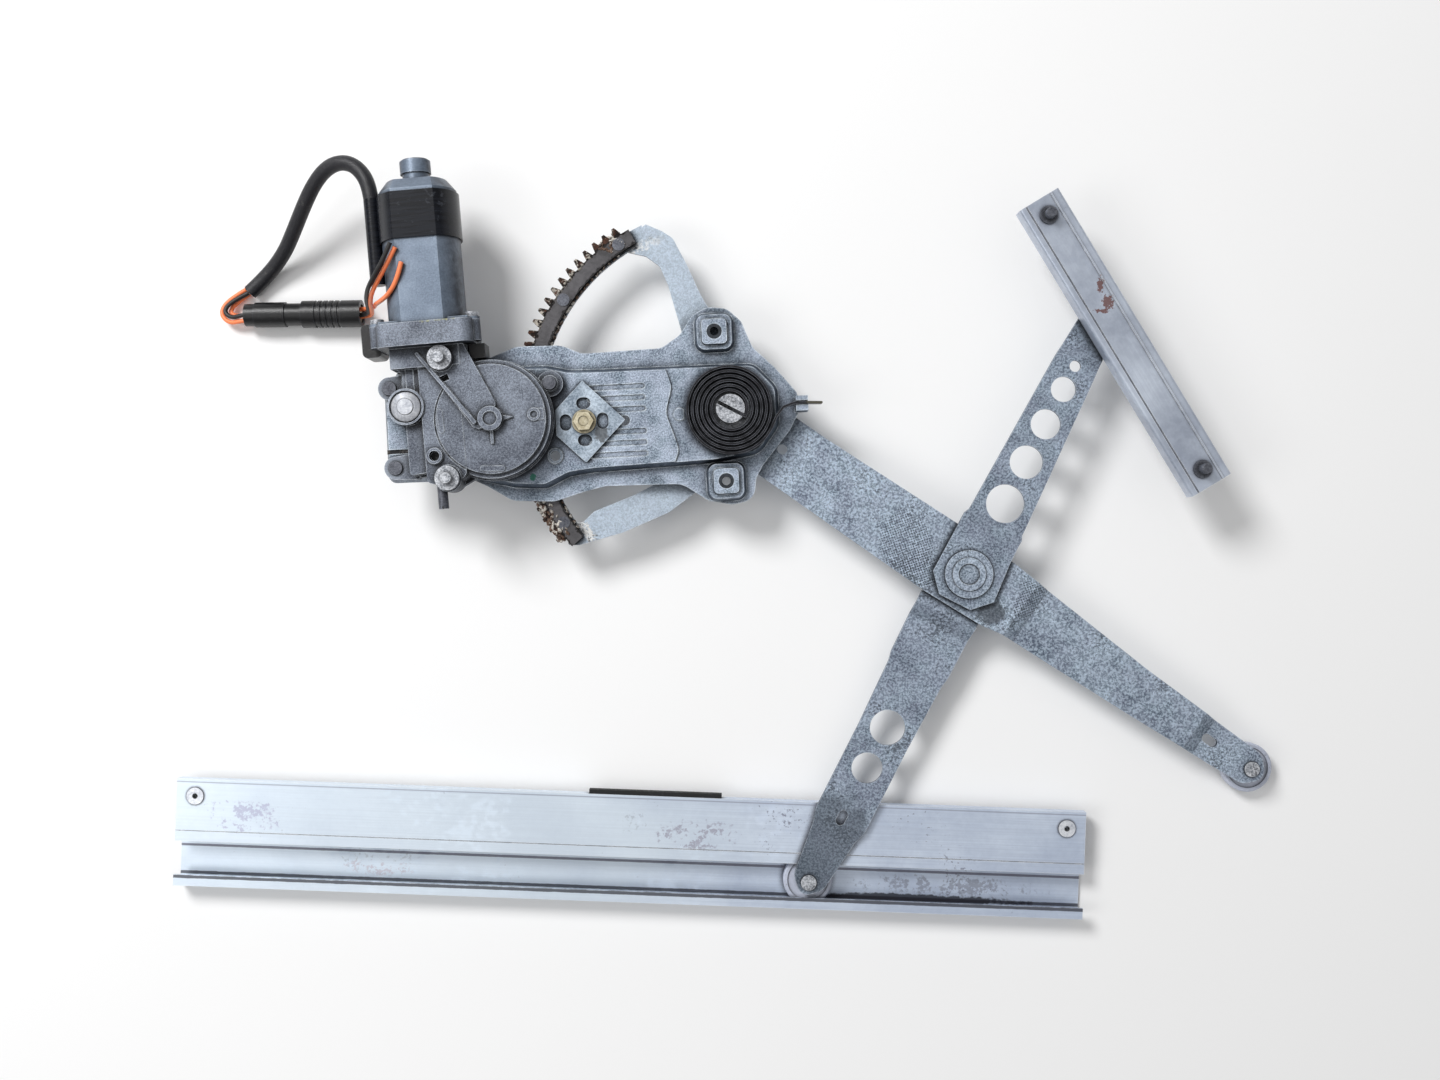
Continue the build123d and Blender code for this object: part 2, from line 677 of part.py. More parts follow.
def armature():
    core = along_shaft(Circle(armature_radius), can_end - magnet_start, can_end - magnet_end - 2)
    for k in range(8):
        angle = 360 / 8 * k
        px, pz = polar(armature_radius, angle)
        slot = along_shaft(Pos(px, pz) * Rot(0, 0, angle) * Rectangle(7.0, 1.6), can_end - 60, can_end)
        core = core - slot
    return single(core - rod_y(rotor_shaft_radius, 0, 200, -worm_offset, worm_axis_height))


def brush_holder():
    """Plastic plate in the flange with the two brush boxes, and the lead block at its side."""
    x = -worm_offset
    z = worm_axis_height
    plate = along_shaft(Circle(17.3), flange_face - 11.5, flange_face - 8.0)
    for side in (-1, 1):
        near = x + side * (commutator_radius + 0.6)
        far = x + side * 15.0
        plate = plate + block(min(near, far), max(near, far), flange_face - 8.0, flange_face - 1.0, z - 3, z + 3)
    return single(plate - rod_y(commutator_radius + 0.5, 0, 100, x, z))


commutator_radius = 7.0


def lead_housing():
    """Plastic block beside the flange where the motor's leads come out, and its nose on the other side."""
    face = flange_face - flange_thickness
    left = -worm_offset - flange_width / 2
    block_body = block(left - 11, left, face - 3, flange_face + 3, -8, ear_height - 5)
    block_body = fillet(block_body.edges().filter_by(Axis.Z), 3)
    nose = block(-9.6, -0.6, drum_rim_radius + 0.7, face, -4, 12)
    return [single(block_body), single(nose)]


sleeve_length = 27.0
sleeve_run = 49.0
sleeve_inset = 1.0
sleeve_end = can_length - dome_length - sleeve_inset
sleeve_start = sleeve_end - sleeve_length
sleeve_run_start = sleeve_end - sleeve_run
sleeve_wall = 1.2
lead_radius = 4.4
lead_offset = -worm_offset - can_radius - lead_radius - 0.1


def motor_sleeve():
    """Tape-like sleeve round the can, with the leads' run down the can's side."""
    z = worm_axis_height
    wrap = along_shaft(motor_profile(sleeve_wall), flange_face + sleeve_start, flange_face + sleeve_end - 1)
    run = rod_y(lead_radius, flange_face + sleeve_run_start, flange_face + sleeve_end, lead_offset, z)
    body = wrap + run - along_shaft(motor_profile(), flange_face, can_end)
    return single(body)


# Drive: worm wheel, shaft and pinion

def worm_wheel():
    root = wheel_pitch - worm_module * 1.25
    points = []
    for k in range(wheel_teeth):
        centre = 360 * k / wheel_teeth
        step = 360 / wheel_teeth
        points += [polar(root, centre - 0.34 * step), polar(wheel_pitch - 0.08, centre - 0.2 * step)]
        points += [polar(wheel_pitch - 0.08, centre + 0.2 * step), polar(root, centre + 0.34 * step)]
    face = make_face(Polyline(*points, close=True).edges())
    z0 = worm_axis_height - wheel_width / 2
    wheel = slab(face, z0, z0 + wheel_width)
    wheel = wheel - ring(20, 11, z0 - 1, z0 + 2.5) - ring(20, 11, z0 + wheel_width - 2.5, z0 + 20)
    return single(wheel - disc(output_shaft_radius, -5, 30))


def output_shaft():
    return single(disc(output_shaft_radius, pinion_bottom, drum_height - 0.8))


pinion_bottom = lift_arm_top - pinion_below_strip
pinion_top = strip_top + pinion_above_strip


def drive_pinion():
    radii = [pinion_root, pinion_base, (pinion_base + pinion_tip) / 2, pinion_tip]
    face = gear_face(pinion_teeth, radii, pinion_pitch, profile_shift)
    return single(slab(face, pinion_bottom, pinion_top) - disc(output_shaft_radius, -30, 0))


# Lift arm with its sector, cut from one sheet

def lift_arm():
    blade = outline([(0, -21), (36, -21), (152, -22.4), (190, -20.4), (206, -17.6), (292, -14.6),
                     (arm_length, -10.5), (arm_length + 10.5, 0), (arm_length, 10.5), (288, 13.4), (220, 18.2),
                     (187, 20.5), (148, 21), (56, 18.6), (0, 19)],
                    [5, 30, 60, 20, 20, 60, 9, 7, 9, 60, 20, 20, 40, 30, 5])
    blade = blade - slot_face(10, 5.5, 342) - Pos(hand_hole, -1.0) * Circle(2.9)
    arm = joggled(blade, [(-30, lift_arm_bottom), (205, lift_arm_bottom), (213, lift_arm_bottom - 4),
                          (arm_length - 42, lift_arm_bottom - 4), (arm_length - 34, roller_arm_bottom),
                          (arm_length + 30, roller_arm_bottom)])
    hub = Circle(hub_radius)
    turn = plate_angle - lift_angle
    upper = outline([(-43.8, 111.5), (-34.6, 107.1), (-28.4, 102.7), (-21.2, 87.2), (-14.2, 69.6), (4, 34),
                     (-20, 30), (-26.2, 48.8), (-32.6, 76), (-36.8, 86.7), (-44.6, 93), (-56, 96), (-58, 102)],
                    [0.5, 4, 6, 8, 30, 1, 1, 6, 10, 6, 5, 2, 1])
    lower = outline([(-98.0, -73.0), (-92, -73.5), (-66.1, -67.4), (-38.7, -57), (-24, -47), (-5, -34), (-30, -20),
                     (-44, -39), (-57.5, -45.6), (-82, -54.2), (-89, -60.3), (-98.5, -60.7)],
                    [1, 4, 20, 14, 20, 1, 1, 8, 10, 4, 4, 1])
    wedge = make_face(Polyline((0, 0), polar(160, 112.6), polar(160, 165), polar(160, 217), close=True).edges())
    rim = (Circle(sector_plate_radius) - Circle(strip_inner_radius - 1.5)) & wedge
    sector = hub + upper + lower + rim
    plate = slab(sector, lift_arm_bottom, lift_arm_top)
    arm = arm + Rot(0, 0, turn) * plate
    arm = arm - disc(pin_shank, -30, 0) - disc(centre_rivet_radius + running_gap, -30, 0, pivot_to_centre)
    arm = arm - disc(roller_pin_radius, -50, 0, arm_length)
    for x, y in rivet_places():
        arm = arm - Rot(0, 0, turn) * disc(rivet_radius, -30, 0, x, y)
    return single(arm)


hand_hole = 37.6
hub_radius = 33.5
pin_shank = 6.5
rivet_radius = 2.5
sector_rivet_radius = strip_inner_radius + strip_band / 2


def rivet_places():
    return [polar(sector_rivet_radius, angle) for angle in (121.0, 143.5, 166.0, 188.5, 211.0)]


def sector_teeth():
    """Toothed strip riveted on the sector, with its teeth standing out past the plate."""
    radii = [sector_root, (sector_root + sector_tip) / 2, sector_tip]
    points = []
    for k in range(strip_teeth_above, 0, -1):
        points += tooth_points(180 - (k - 0.5) * sector_step, radii, sector_pitch, -profile_shift)
    for k in range(1, strip_teeth_below + 1):
        points += tooth_points(180 + (k - 0.5) * sector_step, radii, sector_pitch, -profile_shift)
    start = 180 - (strip_teeth_above + 0.6) * sector_step
    end = 180 + (strip_teeth_below + 0.6) * sector_step
    line = Polyline(polar(strip_inner_radius, start), polar(sector_root, start), *points,
                    polar(sector_root, end), polar(strip_inner_radius, end))
    inner = ThreePointArc(polar(strip_inner_radius, end), polar(strip_inner_radius, (start + end) / 2),
                          polar(strip_inner_radius, start))
    strip = slab(make_face(line.edges() + inner.edges()), lift_arm_top, strip_top)
    for x, y in rivet_places():
        strip = strip - disc(rivet_radius, -30, 0, x, y)
    return single(strip)


def sector_rivets():
    rivets_made = []
    for x, y in rivet_places():
        rivet = disc(rivet_radius, lift_arm_bottom, strip_top, x, y)
        rivet = rivet + disc(3.6, strip_top, strip_top + 0.6, x, y)
        rivet = rivet + disc(3.6, lift_arm_bottom - 1.0, lift_arm_bottom, x, y)
        rivets_made.append(single(rivet))
    return rivets_made


def pivot_pin():
    """Slotted pin, riveted to the lift arm, that turns in the base plate's bush."""
    pin = disc(pivot_pin_radius, lift_arm_top, pin_top) + disc(pin_shank, lift_arm_bottom, lift_arm_top)
    pin = pin + disc(10.0, lift_arm_bottom - 2.0, lift_arm_bottom)
    slot = Rot(0, 0, pin_slot_angle) * block(-20, 20, -1.05, 1.05, spring_bottom - 0.6, 12)
    return single(pin - slot)


pin_top = 7.0


def lift_roller_pin():
    z = roller_arm_bottom
    pin = disc(roller_pin_radius, roller_bottom, z + arm_sheet, arm_length)
    pin = pin + disc(4.4, z + arm_sheet, z + arm_sheet + 1.2, arm_length)
    pin = pin + disc(5.2, roller_top + 0.2, z, arm_length)
    return single(pin)


def roller(x=0.0):
    """Plastic roller: a disc with a shallow groove turned in its face."""
    body = disc(roller_radius, roller_bottom, roller_top, x)
    body = chamfer(body.edges().filter_by(GeomType.CIRCLE), 0.8)
    body = body - ring(12.2, 6.8, roller_top - 1.0, roller_top + 1, x)
    return single(body - disc(roller_pin_radius + running_gap, -60, 0, x))


# Equaliser: two arms riveted together through the lift arm

def equaliser_upper_arm():
    blade = outline([(-18.2, -10.2), (-18.2, 10), (-7.6, 19.4), (24, 18.6), (31, 18.6), (34, 17.2), (134, 13.2),
                     (pivot_to_centre, 10.5), (pivot_to_centre + 10.5, 0), (pivot_to_centre, -10.5), (134, -13.2),
                     (34, -17.2), (31, -18.6), (17, -18.6), (-8, -20.4)],
                    [1.5, 1.5, 1.5, 2, 1, 2, 20, 9, 7, 9, 20, 2, 1, 2, 1.5])
    for x, radius in upper_holes:
        blade = blade - Pos(x, 0) * Circle(radius)
    z = upper_arm_bottom
    arm = joggled(blade, [(-30, z), (28, z), (36, z + 2.5), (139, z + 2.5), (144, short_arm_bottom),
                          (pivot_to_centre + 30, short_arm_bottom)])
    arm = arm - disc(centre_rivet_radius, -30, 0) - disc(slider_pin_radius, -30, 5, pivot_to_centre)
    return single(arm)


upper_holes = [(45.9, 11.2), (72.9, 9.7), (97.6, 8.75), (120.3, 7.35), (135.3, 3.3)]
lower_holes = [(101.5, 10.4), (128.2, 9.1)]
slider_pin_radius = 4.0


def equaliser_lower_arm():
    tip = centre_to_roller
    blade = outline([(-19, -8), (-19, 8), (-8, 19), (22, 19.2), (60, 18.6), (66, 17.4), (108, 16.2), (163, 16.2),
                     (171, 13.8), (tip, 9.8), (tip + 9.8, 0), (tip, -9.8), (171, -13.8), (163, -16.2),
                     (108, -16.2), (66, -17.4), (60, -18.6), (22, -19.2), (-8, -19)],
                    [5, 5, 8, 20, 8, 8, 30, 4, 4, 9, 6, 9, 4, 4, 30, 8, 8, 20, 8])
    for x, radius in lower_holes:
        blade = blade - Pos(x, 0) * Circle(radius)
    blade = blade - slot_face(9.3, 5.3, 161)
    z = lower_arm_bottom
    arm = joggled(blade, [(-30, z), (27, z), (35, z - 4.5), (164, z - 4.5), (171, roller_arm_bottom),
                          (tip + 30, roller_arm_bottom)])
    arm = arm - disc(centre_rivet_radius, -40, 0) - disc(roller_pin_radius, -60, 0, tip)
    return single(arm)


def centre_rivet():
    top = upper_arm_bottom + arm_sheet
    rivet = disc(centre_rivet_radius, lower_arm_bottom, top)
    rivet = rivet + disc(14.0, top, top + 1.4) + disc(9.6, top + 1.4, top + 2.2)
    rivet = rivet - disc(6.2, top + 1.2, top + 3)
    return single(rivet + disc(12.0, lower_arm_bottom - 2.0, lower_arm_bottom))


def centre_washers():
    """Two friction washers between the lift arm and the equaliser halves."""
    washers = []
    for bottom in (lower_arm_bottom + arm_sheet, lift_arm_top):
        washers.append(single(ring(15.0, centre_rivet_radius, bottom, bottom + arm_gap)))
    return washers


def glass_roller_pin():
    z = roller_arm_bottom
    pin = disc(roller_pin_radius, roller_bottom, z + arm_sheet, centre_to_roller)
    pin = pin + disc(4.5, z + arm_sheet, z + arm_sheet + 1.2, centre_to_roller)
    return single(pin)


def slider_pin():
    top = slider_bottom + slider_width - 1.0
    pin = disc(slider_pin_radius, short_arm_bottom, top, pivot_to_centre)
    pin = pin + disc(6.0, short_arm_bottom - 1.2, short_arm_bottom, pivot_to_centre)
    return single(pin)


def rail_slider():
    body = disc(slider_radius, slider_bottom, slider_bottom + slider_width)
    body = chamfer(body.edges().filter_by(GeomType.CIRCLE), 0.6)
    return single(body - disc(slider_pin_radius + running_gap, -30, slider_bottom + slider_width - 0.9))


# Glass rail: aluminium channel with a wide panel along one side

def along_x(points, x0, x1, radius=0.0):
    """A section in the YZ plane, swept along X."""
    face = Plane.YZ * outline(points, radius)
    return Pos(x0, 0, 0) * extrude(face, amount=x1 - x0, dir=(1, 0, 0))


rail_x0 = -rail_left
rail_x1 = rail_length - rail_left
lip_edge = channel_opening / 2
wall_out = channel_half_width + rail_wall
panel_top = lip_edge + panel_width
rail_holes = [(rail_x0 + 11.2, panel_top - 10.0), (rail_x1 - 11.2, panel_top - 10.0)]


def glass_rail():
    w = rail_wall
    section = [(-wall_out, rail_floor), (wall_out, rail_floor), (wall_out, rail_top - w), (panel_top - w, rail_top - w),
               (panel_top - w, rail_top - 7.0), (panel_top, rail_top - 7.0), (panel_top, rail_top),
               (lip_edge, rail_top), (lip_edge, rail_top - w), (channel_half_width, rail_top - w),
               (channel_half_width, rail_floor + w), (-channel_half_width, rail_floor + w),
               (-channel_half_width, rail_top - w), (-lip_edge, rail_top - w), (-lip_edge, rail_top + 0.4),
               (-wall_out, rail_top + 0.4)]
    rail = along_x(section, rail_x0, rail_x1)
    line = lip_edge + 6.2
    rail = rail - block(rail_x0 - 1, rail_x1 + 1, line - 0.3, line + 0.3, rail_top - 0.35, rail_top + 1)
    for x, y in rail_holes:
        rail = rail - disc(nut_body, rail_top - 3, rail_top + 1, x, y)
    return single(rail)


nut_body = 3.4
nut_flange = 0.7
nut_bore = 1.65


def rail_rivet_nuts():
    nuts = []
    for x, y in rail_holes:
        nut = disc(nut_body, rail_top - 8.0, rail_top, x, y) + disc(5.0, rail_top, rail_top + nut_flange, x, y)
        nut = nut - disc(nut_bore, rail_top - 10, rail_top + 3, x, y)
        nuts.append(single(nut))
    return nuts


pad_x0 = -131.5
pad_x1 = -53.0


def rubber_pad():
    """Rubber buffer under the panel's folded edge, proud of it by a couple of millimetres."""
    y = panel_top
    return single(block(pad_x0, pad_x1, y, y + 2.4, rail_top - 6.8, rail_top - 1.2))


# Short rail: channel that opens down over the slider, with two studs to the door

short_x0 = -short_rail_start
short_x1 = short_rail_length - short_rail_start
short_half = short_rail_width / 2
stud_places = [short_x0 + stud_inset, short_x1 - stud_inset]


def fixed_rail():
    w = short_rail_wall
    low = short_rail_bottom
    top = short_rail_top
    half = short_half
    lip = 6.4
    section = [(-half, low), (-lip, low), (-lip, low + w), (w - half, low + w), (w - half, top - w),
               (half - w, top - w), (half - w, low + w), (lip, low + w), (lip, low), (half, low),
               (half, top), (-half, top)]
    rail = along_x(section, short_x0, short_x1, [0.4] * 10 + [2.0, 2.0])
    ridge = half - 5.6
    rail = rail + block(short_x0, short_x1, ridge - 0.5, ridge + 0.5, top - 0.1, top + 0.6)
    groove = 4.2 - half
    rail = rail - block(short_x0 - 1, short_x1 + 1, groove - 0.5, groove + 0.5, top - 0.7, top + 1)
    for x in stud_places:
        rail = rail - disc(stud_radius, top - 5, top + 2, x, 0)
    return single(rail)


def fixed_rail_studs():
    studs = []
    for x in stud_places:
        top = short_rail_top
        stud = disc(stud_radius, top - short_rail_wall, top + 9.0, x)
        stud = stud + disc(5.2, top, top + 1.2, x) + disc(4.6, top - short_rail_wall - 0.9,
                                                         top - short_rail_wall, x)
        studs.append(single(chamfer(stud.edges().sort_by(Axis.Z)[-1], 0.6)))
    return studs


# Leads: motor cable, connector pair and the cut harness wires

cable_radius = 4.4
wire_radius = 1.3
ground = rail_floor
connector_z = ground + 8.2
plug_start = (-278.8, 3.4)
connector_angle = 3.0
plug_length = 34.0
socket_length = 35.0


def from_gear(x, y):
    """A point of the gearbox's frame in the part's frame."""
    turn = radians(gear_angle)
    return (drum_x + x * cos(turn) - y * sin(turn), drum_y + x * sin(turn) + y * cos(turn))


cable_start = from_gear(lead_offset, flange_face + sleeve_end)
cable_lead_in = from_gear(lead_offset, flange_face + sleeve_end + 13.5)
cable_route = [(*cable_start, worm_axis_height), (*cable_lead_in, worm_axis_height), (-207.0, 89.5, 3.6),
               (-221.0, 88.5, -4.5), (-237.0, 78.0, -14.0), (-249.5, 59.5, -23.0), (-257.0, 41.0, -30.5),
               (-267.0, 27.9, -34.7), (-278.0, 17.7, -35.3)]
cable_wire_routes = [
    [(-278.7, 17.0, -37.0), (-287.0, 11.0, -37.2), (-290.0, 5.6, -36.4), (-286.0, 3.0, -35.2),
     (-280.5, 3.8, -34.1), (-275.2, 4.2, -33.8)],
    [(-278.7, 17.0, -34.2), (-289.2, 11.2, -34.2), (-292.6, 5.2, -33.2), (-287.6, 1.4, -32.2),
     (-280.5, 3.4, -30.6), (-275.2, 3.9, -30.3)],
    [(-280.5, 19.2, -35.6), (-291.0, 12.9, -36.4), (-295.6, 4.6, -35.6), (-289.4, -1.6, -34.0),
     (-281.0, 0.2, -32.3), (-275.2, 0.9, -32.1)],
]
harness_wire_routes = [
    [(-210.7, 9.3, -30.6), (-203.4, 9.8, -29.4), (-198.0, 9.5, -14.0), (-194.0, 8.0, 2.0), (-188.5, 7.6, 15.0),
     (-181.5, 10.8, 24.2), (-176.4, 18.5, 28.6), (-174.6, 27.9, 28.4)],
    [(-210.7, 5.4, -33.2), (-204.0, 5.8, -32.0), (-200.0, 6.6, -15.0), (-197.6, 8.8, 1.0), (-193.5, 13.0, 14.5),
     (-187.9, 19.7, 22.0), (-182.0, 28.5, 27.2), (-178.3, 36.0, 28.6)],
    [(-210.7, 5.6, -29.2), (-205.0, 6.2, -28.0), (-201.8, 8.0, -12.4), (-199.4, 10.4, 3.4), (-195.3, 14.6, 17.2),
     (-189.7, 21.2, 24.8), (-183.8, 30.0, 29.8), (-180.6, 38.0, 31.0)],
]


def round_path(route):
    """Straight runs joined by arcs as large as the shorter run allows, and the radii used."""
    points = [Vector(*p) for p in route]
    radii = []
    for a, b, c in zip(points, points[1:], points[2:]):
        before = b - a
        after = c - b
        turn = before.get_angle(after)
        radii.append(0.45 * min(before.length, after.length) / tan(radians(turn) / 2))
    return FilletPolyline(*points, radius=radii), radii


def lead(route, radius, name):
    """A plain round tube along a lead's route, checked against section times length."""
    path, radii = round_path(route)
    start = path.edges()[0]
    plane = Plane(origin=start @ 0, z_dir=start % 0)
    tube = sweep(plane * Circle(radius), path=path)
    expected = pi * radius ** 2 * path.length
    print(name, "length", round(path.length, 1), "radii", [round(r, 1) for r in radii],
          "volume ratio", round(tube.volume / expected, 4))
    return single(tube)


def leads(routes, name):
    """Several tubes of one thin wire's size, kept as separate solids."""
    return Compound(children=[lead(route, wire_radius, name) for route in routes])


def connector_place():
    return Pos(*plug_start, connector_z) * Rot(0, 0, connector_angle) * Rot(0, 90, 0)


def cable_plug():
    plug = disc(6.6, 0, plug_length) + disc(7.4, 6, 24) - disc(4.6, -1, 4)
    return single(connector_place() * plug)


def harness_socket():
    a = plug_length
    b = plug_length + socket_length
    socket = disc(8.0, a, b) - disc(5.6, b - 6, b + 1)
    for k in range(5):
        socket = socket - ring(9, 7.3, a + 8 + 3.4 * k, a + 9.6 + 3.4 * k)
    return single(connector_place() * socket)


def socket_seal():
    b = plug_length + socket_length
    return single(connector_place() * disc(5.6, b - 6, b - 1.2))


# All nodes, each with its own file

def placed(frame, shapes):
    """One solid, or several kept apart, moved into the part's frame."""
    if isinstance(shapes, list):
        return Compound(children=[frame * shape for shape in shapes])
    return frame * shapes


nodes = {
    "base_plate": placed(PLATE, base_plate()),
    "diamond_plate": placed(PLATE, diamond_plate()),
    "diamond_bolt": placed(PLATE, flange_bolt(*adjuster, diamond_sheet, 8.5)),
    "diamond_nut": placed(PLATE, weld_nut(*adjuster, m6_radius + running_gap)),
    "upper_weld_nut": placed(PLATE, weld_nut(*pads[0], m6_hole_radius)),
    "lower_weld_nut": placed(PLATE, weld_nut(*pads[1], m6_hole_radius)),
    "pivot_bush": placed(PLATE, pivot_bush()),
    "counterbalance_spring": placed(PLATE, counterbalance_spring()),
    "gearbox_housing": placed(GEAR, gearbox_housing()),
    "gearbox_cover": placed(GEAR, gearbox_cover()),
    "gearbox_screws": placed(GEAR, gearbox_screws()),
    "mount_post_upper": placed(GEAR, mount_post(*posts[0])),
    "mount_post_lower": placed(GEAR, mount_post(*posts[1])),
    "mount_bush": placed(GEAR, mount_bush()),
    "thrust_screw": placed(GEAR, thrust_screw()),
    "motor_can": placed(GEAR, motor_can()),
    "motor_flange_screws": placed(GEAR, flange_screws()),
    "brush_holder": placed(GEAR, brush_holder()),
    "lead_housing": placed(GEAR, lead_housing()),
    "motor_sleeve": placed(GEAR, motor_sleeve()),
    "end_bearing": placed(GEAR, end_bearing()),
    "field_magnets": placed(GEAR, field_magnets()),
    "rotor_shaft": placed(GEAR, rotor_shaft()),
    "worm": placed(GEAR, on_shaft(worm_pitch, -18.0, 18.0)),
    "armature": placed(GEAR, armature()),
    "commutator": placed(GEAR, on_shaft(commutator_radius, flange_face - 9.0, flange_face - 1.0)),
    "worm_wheel": placed(GEAR, worm_wheel()),
    "output_shaft": placed(DRIVE, output_shaft()),
    "drive_pinion": placed(DRIVE, drive_pinion()),
    "lift_arm": placed(LIFT, lift_arm()),
    "sector_teeth": placed(PLATE, sector_teeth()),
    "sector_rivets": placed(PLATE, sector_rivets()),
    "pivot_pin": placed(PLATE, pivot_pin()),
    "lift_roller_pin": placed(LIFT, lift_roller_pin()),
    "lift_roller": placed(LIFT, roller(arm_length)),
    "equaliser_upper_arm": placed(UPPER, equaliser_upper_arm()),
    "equaliser_lower_arm": placed(LOWER, equaliser_lower_arm()),
    "centre_rivet": placed(UPPER, centre_rivet()),
    "centre_washers": placed(UPPER, centre_washers()),
    "glass_roller_pin": placed(LOWER, glass_roller_pin()),
    "slider_pin": placed(UPPER, slider_pin()),
    "glass_roller": placed(RAIL, roller()),
    "rail_slider": placed(SHORT, rail_slider()),
    "glass_rail": placed(RAIL, glass_rail()),
    "rail_rivet_nuts": placed(RAIL, rail_rivet_nuts()),
    "rubber_pad": placed(RAIL, rubber_pad()),
    "fixed_rail": placed(SHORT, fixed_rail()),
    "fixed_rail_studs": placed(SHORT, fixed_rail_studs()),
    "motor_cable": lead(cable_route, cable_radius, "motor_cable"),
    "cable_wires": leads(cable_wire_routes, "cable_wires"),
    "cable_plug": cable_plug(),
    "harness_socket": harness_socket(),
    "socket_seal": socket_seal(),
    "harness_wires": leads(harness_wire_routes, "harness_wires"),
}

os.makedirs("parts", exist_ok=True)
for name, shape in nodes.items():
    export_step(shape, "parts/" + name + ".step")
print(len(nodes), "nodes; drum axis", round(drum_x, 2), round(drum_y, 2), "centre pivot", round(centre_x, 2),
      round(centre_y, 2), "glass roller", round(roller_x, 2), round(roller_y, 2), "slider", round(slider_x, 2),
      round(slider_y, 2))
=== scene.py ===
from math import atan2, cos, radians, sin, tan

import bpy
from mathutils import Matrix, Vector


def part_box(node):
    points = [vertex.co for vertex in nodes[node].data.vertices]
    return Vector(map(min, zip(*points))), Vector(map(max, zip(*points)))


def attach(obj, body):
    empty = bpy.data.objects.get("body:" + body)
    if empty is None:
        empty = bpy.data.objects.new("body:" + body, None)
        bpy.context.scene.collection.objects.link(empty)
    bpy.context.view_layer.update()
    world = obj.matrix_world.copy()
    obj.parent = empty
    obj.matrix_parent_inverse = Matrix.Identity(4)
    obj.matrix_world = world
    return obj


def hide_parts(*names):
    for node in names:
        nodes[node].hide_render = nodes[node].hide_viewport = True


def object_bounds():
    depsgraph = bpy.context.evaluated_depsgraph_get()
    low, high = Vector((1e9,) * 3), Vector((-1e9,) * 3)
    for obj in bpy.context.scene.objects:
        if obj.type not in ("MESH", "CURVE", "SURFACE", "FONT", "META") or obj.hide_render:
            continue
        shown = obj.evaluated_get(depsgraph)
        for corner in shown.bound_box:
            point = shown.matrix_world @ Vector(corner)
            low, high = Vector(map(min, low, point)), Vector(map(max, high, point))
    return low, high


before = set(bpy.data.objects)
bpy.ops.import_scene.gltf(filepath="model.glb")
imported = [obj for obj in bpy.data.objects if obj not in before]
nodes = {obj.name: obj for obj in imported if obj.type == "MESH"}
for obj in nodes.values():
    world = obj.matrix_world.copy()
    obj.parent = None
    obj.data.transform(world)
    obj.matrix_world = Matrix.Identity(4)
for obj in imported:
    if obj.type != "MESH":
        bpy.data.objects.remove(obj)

# %% [markdown]
# A window regulator lies on a pale floor with its motor side up. It is nearly all metal: zinc-plated
# pressed sheet, a die-cast gearbox, a painted motor can and two extruded rails. The shapes come from
# the frame, and this lesson gives them their finishes, lays the flexible leads as curves, and adds
# the small forms that only a surface modeller would make. First come the modules and the box of the
# frame.

frame_box = [list(corner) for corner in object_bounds()]
print("frame box", frame_box)

# %% [markdown]
# Colours are easiest to choose as they look on a screen, from 0 to 255, while shaders work with light
# itself. One small function turns the first into the second. Every finish below is written with it.

# %% Screen colours turned into light
def paint(red, green, blue):
    """A screen colour, 0 to 255 for each part, as the light values a shader uses."""
    parts = []
    for value in (red, green, blue):
        share = value / 255
        parts.append(share / 12.92 if share <= 0.04045 else ((share + 0.055) / 1.055) ** 2.4)
    return (*parts, 1.0)


print("mid grey as light", round(paint(128, 128, 128)[0], 3))

# %% [markdown]
# Several finishes share the same effects: the cloudy patches of zinc, old grease in flecks, fine
# scratches along one direction, edges painted bright as wear and as a painted highlight, and round
# marks at one place. Each effect is built once as a node group with named inputs. A group gives back
# only a mask or a normal, and every material mixes its own colours with it.

# %% A helper that makes an empty node group with its sockets
def effect(name, inputs, outputs):
    group = bpy.data.node_groups.new(name, "ShaderNodeTree")
    for label, kind, value in inputs:
        socket = group.interface.new_socket(name=label, in_out="INPUT", socket_type=kind)
        if value is not None:
            socket.default_value = value
    for label, kind in outputs:
        group.interface.new_socket(name=label, in_out="OUTPUT", socket_type=kind)
    start = group.nodes.new("NodeGroupInput")
    end = group.nodes.new("NodeGroupOutput")
    return group, start, end


def step(tree, kind, **settings):
    """A new node with its settings; a key that starts with in_ sets the input of that number."""
    node = tree.nodes.new(kind)
    for key, value in settings.items():
        if key.startswith("in_"):
            node.inputs[int(key[3:])].default_value = value
        else:
            setattr(node, key, value)
    return node


NUMBER = "NodeSocketFloat"
ARROW = "NodeSocketVector"
print("effect helper ready")

# %% [markdown]
# Zinc plating looks cloudy: large soft patches with a fine salt-and-pepper speckle over them. Each
# noise is stretched to full contrast on its own, and then the two are blended, because a blend of
# two weak noises would look like fog.

